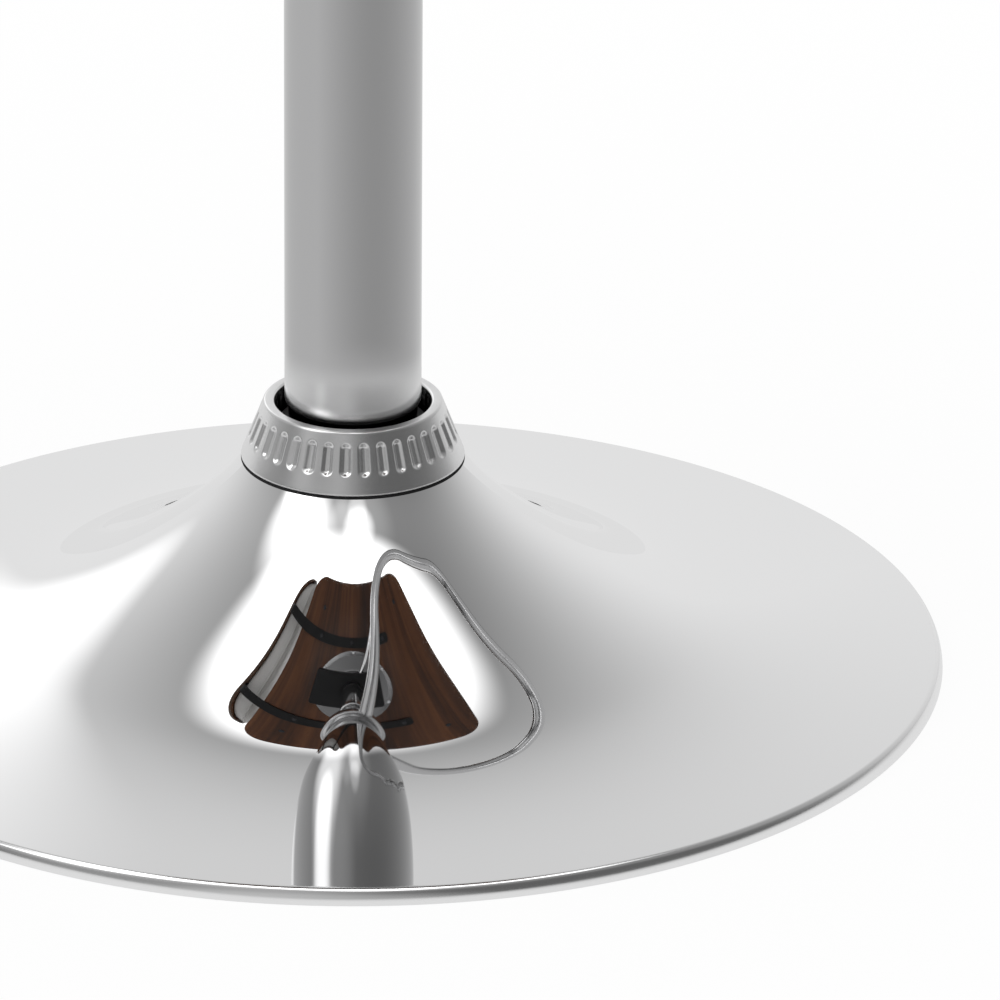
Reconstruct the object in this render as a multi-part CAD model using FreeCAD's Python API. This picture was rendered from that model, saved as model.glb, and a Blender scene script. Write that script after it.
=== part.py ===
import FreeCAD, Part
import math
import os

# Swivel bar stool: spun chrome base, fixed column with a footrest hoop, gas spring that lifts and
# turns a walnut seat, and a walnut back on two flat steel brackets.
# Millimetres, +Z up, +X is the way the sitter faces, origin on the floor under the column's axis.
# The pose is the one with the seat turned square and lifted part of the way up its stroke.

# Clearances
running_clearance = 0.06      # radial, round parts that turn or slide in each other
seat_clearance = 0.02         # radial, round parts that are pressed or fixed together
soft_clearance = 0.3          # between padding and hard parts
bearing_gap = 0.1             # axial, between a part and the face that it bears on
overrun = 2.0                 # how far a cutting tool passes a face

# Spun base
base_radius = 222.5
base_sheet = 1.2
neck_radius = 42.0
neck_height = 83.0
neck_lip = 8.0
rim_roll = 2.85
rim_gap = 0.9
# Trumpet outline from the neck to the rim: share of the way out, share of the height
trumpet_shares = [
    (0.0, 1.0), (0.045, 0.860), (0.113, 0.703), (0.203, 0.537), (0.315, 0.368),
    (0.417, 0.247), (0.507, 0.165), (0.608, 0.107), (0.766, 0.052), (1.0, 0.0),
]
trumpet_neck_slope = 57.6     # degrees
trumpet_rim_slope = 4.9       # degrees

# Floor ring and ballast plate under the base
floor_ring_width = 12.0
floor_ring_inset = 5.5
ballast_thickness = 4.4
ballast_gap = 1.5
ballast_hole_radius = 15.0

# Hub that holds the column
hub_radius = 29.0
hub_top = 98.0
hub_nose_radius = 27.5
hub_flange_radius = 38.5
hub_flange_thickness = 4.0

# Slotted collar ring
collar_bottom_radius = 42.3
collar_top_radius = 33.4
collar_inner_radius = 29.6
collar_height = 22.6
collar_wall = 2.6
collar_crest_radius = 0.9
gasket_thickness = 0.9
gasket_inset = 0.4              # how far the gasket stays inside the neck and the collar
gasket_width = 6.0
slot_count = 34
slot_width = 4.1
slot_length = 12.2
slot_depth = 0.85
slot_draft = 0.45               # how far the slot's sides slope inwards
slot_middle_share = 0.57

# Column and footrest
column_radius = 25.65
column_wall = 2.0
column_top = 350.0
column_shoulder = 108.4
column_edge_radius = 1.3
column_foot = 14.0
column_floor = 4.0
socket_radius = 24.3
socket_foot_radius = 22.4
column_core_radius = 20.2
footrest_collar_radius = 31.0
footrest_collar_height = 16.0
footrest_collar_edge = 1.5
footrest_tube_radius = 8.0
footrest_tube_wall = 1.5
footrest_reach = 213.0
footrest_front_corner = 68.6  # half width where the front and the slanted side would meet
footrest_side_corner_x = 68.0
footrest_side_corner_y = 200.0
footrest_side_bend = 60.0
footrest_front_bend = 60.0
footrest_root_x = 14.0
footrest_root_y = 28.0
set_screw_radius = 3.0
set_screw_length = 5.0
set_screw_angle = 35.0        # degrees each side of straight back

# Guide bush in the column's mouth
bush_length = 54.0
bush_flange_radius = 25.2
bush_flange = 4.0

# Gas spring and its bearing
lift_down = 75.0              # travel from this pose to the lowest seat
lift_up = 125.0               # travel from this pose to the highest seat
stop_gap = 3.0                # left between the stop sleeve and the bush at the lowest seat
cylinder_radius = 14.0
cylinder_wall = 2.0
cylinder_nose_radius = 13.1
cylinder_cap = 6.0
cylinder_floor_gap = 14.0
gland_height = 16.0
piston_height = 16.0
piston_gap = 11.0
rod_radius = 5.0
rod_shoulder_radius = 8.5
rod_shoulder = 3.0
rod_tail = 5.0
race_inner_radius = 6.4
race_outer_radius = 17.0
race_thickness = 2.0
race_groove = 0.5
bearing_ball_radius = 2.0
bearing_ball_count = 8
buffer_radius = 12.5
buffer_height = 12.0
clip_radius = 9.0
clip_thickness = 1.2
clip_groove = 0.8
stop_sleeve_radius = 17.75

# Seat mechanism under the board
board_underside = 680.0
dish_radius = 89.0
dish_depth = 14.0
dish_sheet = 2.0
dish_flat_radius = 48.0
dish_rim_width = 9.0
housing_rear = -85.0
housing_front = 61.0
housing_half_width = 42.5
housing_height = 27.0
housing_sheet = 3.0
housing_corner = 6.0
mounting_plate = 3.0
taper_hub_radius = 22.0
taper_hub_above = 12.0        # how far the hub stands above the housing's floor
taper_hub_below = 18.0
plate_bolt_x = 34.0
plate_bolt_y = 22.0
plate_bolt_radius = 3.0
plate_bolt_head_radius = 5.5
plate_bolt_head = 3.5
plate_nut_height = 5.0
dish_screw_radius = 2.0
dish_screw_head_radius = 3.6
dish_screw_head = 1.6
dish_screw_length = 8.0
dish_screw_count = 6

# Height lever and the valve pin that it presses
lever_heading = -66.0         # degrees from +X towards the sitter's right
lever_rise = 6.0              # degrees that the handle lifts
lever_pivot_reach = 24.0
lever_rod_radius = 4.0
lever_block_width = 6.0
lever_block_height = 9.0
lever_tip = 5.0               # how far the block passes the valve pin
lever_block_end = 40.0
lever_drop = 8.0              # how far the handle lies below the block
lever_bend_start = 60.0
lever_bend_end = 110.0
lever_length = 210.0
grip_radius = 8.0
grip_length = 52.0
grip_end_round = 3.0
pivot_pin_radius = 2.5
pivot_ear_width = 12.0
pivot_ear_thickness = 2.5
pivot_ear_gap = 0.5
valve_pin_radius = 3.0
valve_pin_stand = 5.4         # how far the pin stands above the cylinder
valve_pin_length = 22.0
lever_gap = 0.3               # between the lever and the valve pin

# Walnut seat board and its pad
board_thickness = 12.0
board_rear = -175.0
board_front = 230.0
board_half_width = 223.0
board_corner = 52.0
board_front_sweep = 1250.0    # radius of the bowed front edge
board_edge_round = 3.0
pad_board_thickness = 9.0
pad_board_inset = 26.0
pad_height = 60.0
pad_inset = 3.0
pad_side_pull = 3.0           # how far the sides are drawn in at their middle
pad_crown = 11.0              # how much higher the middle is than the corners' line
pad_crown_x = 20.0
pad_upper_round = 21.0
pad_lower_round = 9.0
pad_screw_x_front = 163.0
pad_screw_x_rear = -112.0
pad_screw_y = 154.0
pad_screw_radius = 2.5
pad_screw_head_radius = 5.0
pad_screw_head = 2.4

# Back shell, brackets and back pad
back_bottom = 700.0
back_height = 300.0
back_recline = 8.0            # degrees
back_plane = -250.0           # rear face of the shell at its lower edge
back_shell_thickness = 9.0
back_flat_half_width = 114.0
back_wrap_radius = 125.0      # outside radius where the shell wraps forward
back_half_width = 213.0
back_corner = 62.0
back_edge_round = 2.0
bracket_width = 20.0
bracket_thickness = 5.0
bracket_front = 108.0
bracket_spacing = 104.0       # half the distance between the two brackets
bracket_bend = 12.0
bracket_upright = 170.0
bracket_end_corner = 8.0
bracket_screw_xs_shares = [0.06, 0.40, 0.74]   # shares of the run under the board
bracket_screw_radius = 2.5
bracket_screw_head_radius = 4.6
bracket_screw_head = 2.2
bracket_screw_length = 14.0
back_screw_heights_shares = [0.30, 0.72]       # shares of the bracket's upright
back_screw_radius = 2.5
back_screw_head_radius = 6.0
back_screw_head = 2.2
back_board_inset = 24.0
back_board_slot_gap = 1.0
back_pad_thickness = 60.0
back_pad_inset = 9.0
back_pad_round = 14.0
back_pad_hollow = 14.0        # how far the sides stand forward of the middle
# Back pad sections: share of the height, share of the thickness
back_pad_shares = [(0.0, 0.84), (0.3, 1.0), (0.65, 0.96), (1.0, 0.82)]

# Heights and places that follow from the sizes above
rim_top = rim_gap + 2 * rim_roll
rim_centre_radius = base_radius - rim_roll
collar_base = neck_height + gasket_thickness
collar_top = collar_base + collar_height
column_bore = column_radius - column_wall
bush_top = column_top + bush_flange
bearing_base = column_foot + column_floor
race_lift = 2 * bearing_ball_radius - 2 * race_groove
upper_race_base = bearing_base + race_thickness + race_lift
shoulder_base = upper_race_base + race_thickness
buffer_base = shoulder_base + rod_shoulder
buffer_top = buffer_base + buffer_height
cylinder_bore = cylinder_radius - cylinder_wall
cylinder_bottom = buffer_top + lift_down + cylinder_floor_gap
piston_base = cylinder_bottom + lift_up + gland_height + piston_gap
rod_top = piston_base + piston_height
sleeve_bottom = bush_top + lift_down + stop_gap
dish_flat = board_underside - dish_depth
housing_top = dish_flat - mounting_plate
housing_bottom = housing_top - housing_height
taper_hub_top = housing_bottom + taper_hub_above
taper_hub_bottom = housing_bottom - taper_hub_below
cylinder_top = taper_hub_top - bearing_ball_radius
valve_pin_top = cylinder_top + valve_pin_stand
lever_underside = valve_pin_top + lever_gap
lever_axis_z = lever_underside + lever_rod_radius
board_top = board_underside + board_thickness
pad_top = board_top + pad_height
bracket_underside = board_underside - bracket_thickness
recline = math.radians(back_recline)
lever_turn = math.radians(lever_heading)

axis_z = FreeCAD.Vector(0, 0, 1)
origin = FreeCAD.Vector(0, 0, 0)


def vec(x, y, z):
    return FreeCAD.Vector(x, y, z)


def disc(radius, bottom, top, x=0, y=0):
    return Part.makeCylinder(radius, top - bottom, vec(x, y, bottom))


def tube(outer, inner, bottom, top, x=0, y=0):
    bore = disc(inner, bottom - overrun, top + overrun, x, y)
    return disc(outer, bottom, top, x, y).cut(bore)


def turned(points):
    """A solid of revolution about Z from (radius, height) corners."""
    corners = [vec(r, 0, z) for r, z in points]
    face = Part.Face(Part.makePolygon(corners + corners[:1]))
    return face.revolve(origin, axis_z, 360)


def slab(x0, x1, y0, y1, z0, z1):
    return Part.makeBox(x1 - x0, y1 - y0, z1 - z0, vec(x0, y0, z0))


def edges_where(shape, wanted):
    return [edge for edge in shape.Edges if wanted(edge)]


def centre_of(edge):
    return edge.BoundBox.Center


def around(shape, count, step, start=0.0):
    """Copies of a shape spaced evenly about Z."""
    copies = []
    for index in range(count):
        copy = shape.copy()
        copy.rotate(origin, axis_z, start + index * step)
        copies.append(copy)
    return copies


def at_places(shape, places):
    """Copies of a shape moved to each (x, y)."""
    copies = []
    for x, y in places:
        copy = shape.copy()
        copy.translate(vec(x, y, 0))
        copies.append(copy)
    return copies


def screw_up(radius, head_radius, head, bottom, length):
    """A screw that points up, its round head ending at the given height."""
    shank = disc(radius, bottom, bottom + length)
    dome = turned([
        (0, bottom - head), (head_radius * 0.62, bottom - head * 0.92),
        (head_radius, bottom - head * 0.3), (head_radius, bottom), (0, bottom),
    ])
    return dome.fuse(shank).removeSplitter()


def trumpet_points():
    """Outer (radius, height) points of the base, neck to rim."""
    run = rim_centre_radius - neck_radius
    rise = neck_height - rim_top
    return [(neck_radius + run * out, rim_top + rise * up) for out, up in trumpet_shares]


def trumpet_curve(points):
    curve = Part.BSplineCurve()
    neck = math.radians(trumpet_neck_slope)
    rim = math.radians(trumpet_rim_slope)
    curve.interpolate(
        Points=[vec(r, 0, z) for r, z in points],
        InitialTangent=vec(math.cos(neck), 0, -math.sin(neck)),
        FinalTangent=vec(math.cos(rim), 0, -math.sin(rim)),
    )
    return curve


def offset_points(curve, points, distance):
    """Points moved inwards, square to the curve."""
    moved = []
    for r, z in points:
        place = vec(r, 0, z)
        along = curve.tangent(curve.parameter(place))[0]
        moved.append((r - abs(along.z) * distance, z - along.x * distance))
    return moved


def base_underside(radius):
    """Height of the sheet's lower face at a radius, between the points of the outline."""
    curve = trumpet_curve(trumpet_points())
    points = offset_points(curve, trumpet_points(), base_sheet)
    for (r0, z0), (r1, z1) in zip(points, points[1:]):
        if r0 <= radius <= r1:
            return z0 + (z1 - z0) * (radius - r0) / (r1 - r0)
    return points[-1][1]


def make_base_shell():
    outer_points = trumpet_points()
    outer = trumpet_curve(outer_points)
    inner_points = offset_points(outer, outer_points, base_sheet)
    inner_points[0] = (inner_points[0][0], neck_height - base_sheet)
    inner_points[-1] = (rim_centre_radius, rim_top - base_sheet)
    inner = trumpet_curve(inner_points)
    lip = neck_radius - neck_lip
    rim_middle = rim_gap + rim_roll
    inner_roll = rim_roll - base_sheet
    roll_out = Part.Arc(
        vec(rim_centre_radius, 0, rim_top),
        vec(base_radius, 0, rim_middle),
        vec(rim_centre_radius, 0, rim_gap),
    )
    roll_back = Part.Arc(
        vec(rim_centre_radius, 0, rim_gap + base_sheet),
        vec(rim_centre_radius + inner_roll, 0, rim_middle),
        vec(rim_centre_radius, 0, rim_top - base_sheet),
    )
    edges = [
        Part.LineSegment(vec(lip, 0, neck_height), vec(neck_radius, 0, neck_height)),
        outer, roll_out,
        Part.LineSegment(vec(rim_centre_radius, 0, rim_gap), vec(rim_centre_radius, 0, rim_gap + base_sheet)),
        roll_back, inner,
        Part.LineSegment(vec(inner_points[0][0], 0, neck_height - base_sheet), vec(lip, 0, neck_height - base_sheet)),
        Part.LineSegment(vec(lip, 0, neck_height - base_sheet), vec(lip, 0, neck_height)),
    ]
    wire = Part.Wire(Part.__sortEdges__([edge.toShape() for edge in edges]))
    return Part.Face(wire).revolve(origin, axis_z, 360)


def make_floor_ring():
    outer = base_radius - floor_ring_inset
    inner = outer - floor_ring_width
    top = base_underside(outer) - bearing_gap
    chamfer = rim_gap
    return turned([
        (inner, chamfer), (inner + chamfer, 0), (outer - chamfer, 0),
        (outer, chamfer), (outer, top), (inner, top),
    ])


def make_ballast_plate():
    radius = base_radius - floor_ring_inset - floor_ring_width - seat_clearance
    top = ballast_gap + ballast_thickness
    return tube(radius, ballast_hole_radius, ballast_gap, top)


def socket_radius_at(height):
    """Radius of the column's tapered foot at a height."""
    share = (height - column_foot) / (column_shoulder - column_foot)
    return socket_foot_radius + (socket_radius - socket_foot_radius) * share


def make_base_hub():
    foot = ballast_gap + ballast_thickness
    flange_top = neck_height - base_sheet
    flange_bottom = flange_top - hub_flange_thickness
    return turned([
        (socket_radius_at(foot) + seat_clearance, foot), (hub_radius, foot),
        (hub_radius, flange_bottom), (hub_flange_radius, flange_bottom), (hub_flange_radius, flange_top),
        (hub_nose_radius, flange_top), (hub_nose_radius, hub_top),
        (socket_radius_at(hub_top) + seat_clearance, hub_top),
    ])


def collar_slant(share):
    """Point on the collar's outer slope, from its foot (0) to its crest (1)."""
    radius = collar_bottom_radius + (collar_top_radius - collar_bottom_radius) * share
    return radius, collar_base + collar_height * share


def make_collar_ring():
    foot_inner = neck_radius - gasket_inset - collar_wall
    body = turned([
        (foot_inner, collar_base), (collar_bottom_radius, collar_base), (collar_top_radius, collar_top),
        (collar_inner_radius, collar_top), (collar_inner_radius, collar_base + collar_wall),
    ])
    crest = edges_where(body, lambda e: abs(centre_of(e).z - collar_top) < bearing_gap)
    body = body.makeFillet(collar_crest_radius, crest)
    return body.cut(Part.makeCompound(around(collar_slot(), slot_count, 360 / slot_count)))


def slot_outline(inset, centre, along, outwards):
    """A slot's closed outline at a depth: two straight sides with round ends."""
    radius = slot_width / 2 - inset
    half = (slot_length - slot_width) / 2
    across = outwards.cross(along)
    low, high = centre - along * half, centre + along * half
    return Part.Wire([
        Part.makeLine(low + across * radius, high + across * radius),
        Part.Arc(high + across * radius, high + along * radius, high - across * radius).toShape(),
        Part.makeLine(high - across * radius, low - across * radius),
        Part.Arc(low - across * radius, low - along * radius, low + across * radius).toShape(),
    ])


def collar_slot():
    """Cutter for one pressed slot, laid along the slope, with a flat floor and drafted sides."""
    middle_radius, middle_height = collar_slant(slot_middle_share)
    foot, crest = collar_slant(0), collar_slant(1)
    slope = math.hypot(crest[0] - foot[0], crest[1] - foot[1])
    along = vec((crest[0] - foot[0]) / slope, 0, (crest[1] - foot[1]) / slope)
    outwards = vec(along.z, 0, -along.x)
    middle = vec(middle_radius, 0, middle_height)
    floor = slot_outline(slot_draft, middle - outwards * slot_depth, along, outwards)
    mouth = slot_outline(-slot_draft, middle + outwards * slot_depth, along, outwards)
    return Part.makeLoft([floor, mouth], True, True)


def make_collar_gasket():
    outer = neck_radius - gasket_inset
    return tube(outer, outer - gasket_width, neck_height, collar_base)


def make_column_tube():
    edge = column_edge_radius
    foot_core = column_core_radius
    body = turned([
        (rod_radius + running_clearance, column_foot), (socket_foot_radius, column_foot),
        (socket_radius, column_shoulder - edge), (column_radius - edge, column_shoulder - edge),
        (column_radius, column_shoulder), (column_radius, column_top - edge),
        (column_radius - edge, column_top), (column_bore, column_top),
        (column_bore, column_shoulder), (foot_core, column_shoulder - column_wall),
        (foot_core, bearing_base), (rod_radius + running_clearance, bearing_base),
    ])
    return body


def make_guide_bush():
    bottom = column_top - bush_length
    bore = cylinder_radius + running_clearance
    chamfer = bush_flange / 4
    return turned([
        (bore, bottom), (column_bore - seat_clearance, bottom), (column_bore - seat_clearance, column_top),
        (bush_flange_radius, column_top), (bush_flange_radius, bush_top - chamfer),
        (bush_flange_radius - chamfer, bush_top), (bore, bush_top),
    ])


def make_footrest_collar():
    bottom = column_top - footrest_collar_height
    bore = column_radius + seat_clearance
    edge = footrest_collar_edge
    outer = footrest_collar_radius
    return turned([
        (bore, bottom), (outer - edge, bottom), (outer, bottom + edge),
        (outer, column_top - edge), (outer - edge, column_top), (bore, column_top),
    ]).cut(Part.makeCompound(set_screw_places(set_screw_radius + seat_clearance)))


def set_screw_places(radius):
    """Two radial pins at the rear of the footrest collar."""
    height = column_top - footrest_collar_height / 2
    start = column_radius + seat_clearance
    pins = []
    for side in (-1, 1):
        angle = math.radians(180 + side * set_screw_angle)
        outwards = vec(math.cos(angle), math.sin(angle), 0)
        foot = outwards * start + vec(0, 0, height)
        pins.append(Part.makeCylinder(radius, set_screw_length, foot, outwards))
    return pins


def tangent_arc(before, corner, after, radius):
    """Start, middle and end of the arc that rounds a corner."""
    back = (before - corner).normalize()
    ahead = (after - corner).normalize()
    half = back.getAngle(ahead) / 2
    reach = radius / math.tan(half)
    bisector = (back + ahead).normalize()
    centre = corner + bisector * (radius / math.sin(half))
    return corner + back * reach, centre - bisector * radius, corner + ahead * reach


def footrest_path():
    """Centre line of the hoop: two legs, two slanted sides and a straight front."""
    height = column_top - footrest_collar_height / 2
    corners = [
        vec(footrest_root_x, -footrest_root_y, height),
        vec(footrest_side_corner_x, -footrest_side_corner_y, height),
        vec(footrest_reach, -footrest_front_corner, height),
        vec(footrest_reach, footrest_front_corner, height),
        vec(footrest_side_corner_x, footrest_side_corner_y, height),
        vec(footrest_root_x, footrest_root_y, height),
    ]
    bends = [footrest_side_bend, footrest_front_bend, footrest_front_bend, footrest_side_bend]
    edges = []
    last = corners[0]
    for index, radius in enumerate(bends, start=1):
        start, middle, end = tangent_arc(corners[index - 1], corners[index], corners[index + 1], radius)
        edges.append(Part.LineSegment(last, start).toShape())
        edges.append(Part.Arc(start, middle, end).toShape())
        last = end
    edges.append(Part.LineSegment(last, corners[-1]).toShape())
    return Part.Wire(edges)


def make_footrest_hoop():
    path = footrest_path()
    start = path.Edges[0].valueAt(path.Edges[0].FirstParameter)
    heading = path.Edges[0].tangentAt(path.Edges[0].FirstParameter)
    outer = Part.Wire(Part.makeCircle(footrest_tube_radius, start, heading))
    inner = Part.Wire(Part.makeCircle(footrest_tube_radius - footrest_tube_wall, start, heading))
    pipe = path.makePipeShell([outer], True, False).cut(path.makePipeShell([inner], True, False))
    collar = disc(footrest_collar_radius, column_shoulder, board_underside)
    return pipe.cut(collar)


def make_lower_race():
    groove = Part.makeTorus(
        (race_inner_radius + race_outer_radius) / 2, bearing_ball_radius,
        vec(0, 0, bearing_base + race_thickness - race_groove + bearing_ball_radius))
    return tube(race_outer_radius, race_inner_radius, bearing_base, bearing_base + race_thickness).cut(groove)


def make_bearing_balls():
    height = bearing_base + race_thickness - race_groove + bearing_ball_radius
    track = (race_inner_radius + race_outer_radius) / 2
    ball = Part.makeSphere(bearing_ball_radius - bearing_gap / 2, vec(track, 0, height))
    return Part.makeCompound(around(ball, bearing_ball_count, 360 / bearing_ball_count))


def make_upper_race():
    groove = Part.makeTorus(
        (race_inner_radius + race_outer_radius) / 2, bearing_ball_radius,
        vec(0, 0, upper_race_base + race_groove - bearing_ball_radius))
    return tube(race_outer_radius, race_inner_radius, upper_race_base, shoulder_base).cut(groove)


def make_piston_rod():
    clip_low = column_foot - bearing_gap - clip_thickness
    neck = rod_radius - clip_groove
    return turned([
        (0, column_foot - rod_tail), (rod_radius, column_foot - rod_tail),
        (rod_radius, clip_low), (neck, clip_low), (neck, clip_low + clip_thickness),
        (rod_radius, clip_low + clip_thickness), (rod_radius, shoulder_base),
        (rod_shoulder_radius, shoulder_base), (rod_shoulder_radius, buffer_base),
        (rod_radius, buffer_base), (rod_radius, rod_top), (0, rod_top),
    ])


def make_rod_clip():
    low = column_foot - bearing_gap - clip_thickness
    ring = tube(clip_radius, rod_radius - clip_groove + seat_clearance, low, low + clip_thickness)
    mouth = slab(0, clip_radius + overrun, -rod_radius / 2, rod_radius / 2, low - overrun, column_foot)
    return ring.cut(mouth)


def make_rubber_buffer():
    waist = buffer_radius - overrun
    bore = rod_radius + seat_clearance
    return turned([
        (bore, buffer_base), (buffer_radius, buffer_base), (waist, (buffer_base + buffer_top) / 2),
        (buffer_radius, buffer_top), (bore, buffer_top),
    ])


def make_piston():
    radius = cylinder_bore - running_clearance
    groove = piston_height / 5
    return turned([
        (rod_radius + seat_clearance, piston_base), (radius, piston_base), (radius, piston_base + 2 * groove),
        (radius - clip_groove, piston_base + 2 * groove), (radius - clip_groove, piston_base + 3 * groove),
        (radius, piston_base + 3 * groove), (radius, rod_top), (rod_radius + seat_clearance, rod_top),
    ])


def cylinder_radius_at(height):
    """Radius of the cylinder's tapered nose at a height."""
    share = (height - taper_hub_bottom) / (taper_hub_top - taper_hub_bottom)
    return cylinder_radius + (cylinder_nose_radius - cylinder_radius) * share


def make_gas_cylinder():
    cap_bottom = cylinder_top - cylinder_cap
    pin_bore = valve_pin_radius + running_clearance
    return turned([
        (cylinder_bore, cylinder_bottom), (cylinder_radius, cylinder_bottom),
        (cylinder_radius, taper_hub_bottom), (cylinder_radius_at(cylinder_top), cylinder_top),
        (pin_bore, cylinder_top), (pin_bore, cap_bottom), (cylinder_bore, cap_bottom - cylinder_cap),
    ])


def make_cylinder_gland():
    return tube(
        cylinder_bore - seat_clearance, rod_radius + running_clearance,
        cylinder_bottom, cylinder_bottom + gland_height)


def make_stop_sleeve():
    edge = column_edge_radius
    bore = cylinder_radius + seat_clearance
    return turned([
        (bore, sleeve_bottom), (stop_sleeve_radius - edge, sleeve_bottom),
        (stop_sleeve_radius, sleeve_bottom + edge), (stop_sleeve_radius, taper_hub_bottom),
        (bore, taper_hub_bottom),
    ])


def make_taper_hub():
    chamfer = column_edge_radius
    return turned([
        (cylinder_radius + seat_clearance, taper_hub_bottom),
        (taper_hub_radius - chamfer, taper_hub_bottom), (taper_hub_radius, taper_hub_bottom + chamfer),
        (taper_hub_radius, taper_hub_top), (cylinder_radius_at(taper_hub_top) + seat_clearance, taper_hub_top),
    ])


def housing_block(inset, bottom, top):
    block = slab(
        housing_rear + inset, housing_front - inset,
        -housing_half_width + inset, housing_half_width - inset, bottom, top)
    upright = edges_where(block, lambda e: abs(e.BoundBox.ZLength - (top - bottom)) < bearing_gap)
    return block.makeFillet(housing_corner - inset, upright)


def lever_point(reach, height):
    """A point over the lever's line, at a reach from the column's axis."""
    return vec(reach * math.cos(lever_turn), reach * math.sin(lever_turn), height)


def make_mechanism_housing():
    outer = housing_block(0, housing_bottom, housing_top)
    inner = housing_block(housing_sheet, housing_bottom + housing_sheet, housing_top + overrun)
    hub_hole = disc(taper_hub_radius + seat_clearance, housing_bottom - overrun, taper_hub_top)
    reach = housing_half_width / abs(math.sin(lever_turn))
    slot_half = lever_rod_radius + stop_gap
    mouth = lever_point(reach, 0)
    lever_slot = slab(
        mouth.x - slot_half, mouth.x + slot_half, -housing_half_width - overrun,
        -housing_half_width + housing_sheet + overrun, lever_underside - stop_gap, housing_top + overrun)
    shell = outer.cut(inner)
    lower = edges_where(shell, lambda e: abs(e.BoundBox.ZMax - housing_bottom) < bearing_gap)
    shell = shell.makeFillet(housing_sheet * 0.6, lower)
    return shell.cut(hub_hole).cut(lever_slot)


def plate_bolt_places():
    return [(x, y) for x in (-plate_bolt_x, plate_bolt_x) for y in (-plate_bolt_y, plate_bolt_y)]


def make_mounting_plate():
    plate = housing_block(0, housing_top, dish_flat)
    holes = at_places(
        disc(plate_bolt_radius + seat_clearance, housing_top - overrun, dish_flat + overrun),
        plate_bolt_places())
    return plate.cut(holes)


def make_mount_dish():
    wall_foot = dish_flat_radius
    wall_head = dish_radius - dish_rim_width
    slope = math.atan2(dish_depth - dish_sheet, wall_head - wall_foot)
    shift = dish_sheet * math.tan(slope / 2)
    dish = turned([
        (0, dish_flat), (wall_foot, dish_flat), (wall_head, board_underside - dish_sheet),
        (dish_radius, board_underside - dish_sheet), (dish_radius, board_underside),
        (wall_head - shift, board_underside), (wall_foot - shift, dish_flat + dish_sheet),
        (0, dish_flat + dish_sheet),
    ])
    bends = edges_where(dish, lambda e: (
        abs(e.BoundBox.XMax - wall_foot) < bearing_gap and abs(e.BoundBox.ZMax - dish_flat) < bearing_gap))
    dish = dish.makeFillet(dish_depth, bends)
    bolt_holes = at_places(
        disc(plate_bolt_radius + seat_clearance, dish_flat - overrun, board_underside), plate_bolt_places())
    screw_hole = disc(dish_screw_radius + seat_clearance, dish_flat, board_top, dish_radius - dish_rim_width / 2)
    step = 360 / dish_screw_count
    return dish.cut(bolt_holes).cut(around(screw_hole, dish_screw_count, step, step / 2))


def make_plate_bolts():
    head = disc(plate_bolt_head_radius, housing_top - plate_bolt_head, housing_top)
    shank = disc(plate_bolt_radius, housing_top, dish_flat + dish_sheet + plate_nut_height)
    return Part.makeCompound(at_places(head.fuse(shank), plate_bolt_places()))


def make_plate_nuts():
    bottom = dish_flat + dish_sheet
    across = plate_bolt_head_radius
    sides = 6
    corners = [
        vec(across * math.cos(math.radians(60 * k)), across * math.sin(math.radians(60 * k)), bottom)
        for k in range(sides + 1)
    ]
    nut = Part.Face(Part.makePolygon(corners)).extrude(vec(0, 0, plate_nut_height))
    nut = nut.cut(disc(plate_bolt_radius + seat_clearance, bottom - overrun, board_underside))
    return Part.makeCompound(at_places(nut, plate_bolt_places()))


def make_dish_screws():
    screw = screw_up(
        dish_screw_radius, dish_screw_head_radius, dish_screw_head,
        board_underside - dish_sheet, dish_screw_length)
    screw.translate(vec(dish_radius - dish_rim_width / 2, 0, 0))
    step = 360 / dish_screw_count
    return Part.makeCompound(around(screw, dish_screw_count, step, step / 2))


def lever_frame(shape):
    """Turns a shape drawn along +X to the lever's heading."""
    shape.rotate(origin, axis_z, lever_heading)
    return shape


def make_lift_lever():
    block = slab(
        -lever_tip, lever_block_end, -lever_block_width / 2, lever_block_width / 2,
        lever_underside, lever_underside + lever_block_height)
    low = lever_axis_z - lever_drop
    start = vec(lever_block_end - lever_rod_radius, 0, lever_axis_z)
    bend_in = vec(lever_bend_start, 0, lever_axis_z)
    bend_out = vec(lever_bend_end, 0, low)
    end = vec(lever_length, 0, low)
    radius = (lever_bend_end - lever_bend_start) * 0.45 / math.tan(
        math.atan2(lever_drop, lever_bend_end - lever_bend_start) / 2)
    first = tangent_arc(start, bend_in, bend_out, radius / 2)
    second = tangent_arc(bend_in, bend_out, end, radius / 2)
    path = Part.Wire([
        Part.LineSegment(start, first[0]).toShape(), Part.Arc(*first).toShape(),
        Part.LineSegment(first[2], second[0]).toShape(), Part.Arc(*second).toShape(),
        Part.LineSegment(second[2], end).toShape(),
    ])
    section = Part.Wire(Part.makeCircle(lever_rod_radius, start, vec(1, 0, 0)))
    rod = path.makePipeShell([section], True, False)
    pivot = Part.makeCylinder(
        pivot_pin_radius + running_clearance, 2 * lever_block_width,
        vec(lever_pivot_reach, -lever_block_width, lever_axis_z), vec(0, 1, 0))
    return lever_frame(block.fuse(rod).cut(pivot))


def make_lever_grip():
    low = lever_axis_z - lever_drop
    end = lever_length + grip_end_round
    start = end - grip_length
    waist = grip_radius * 0.8
    profile = [
        (lever_rod_radius + seat_clearance, start), (waist, start), (grip_radius, start + grip_length * 0.35),
        (grip_radius, end - grip_end_round), (grip_radius - grip_end_round, end), (0, end),
        (0, lever_length), (lever_rod_radius + seat_clearance, lever_length),
    ]
    grip = turned(profile)
    grip.rotate(origin, vec(0, 1, 0), 90)
    grip.translate(vec(0, 0, low))
    return lever_frame(grip)


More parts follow.
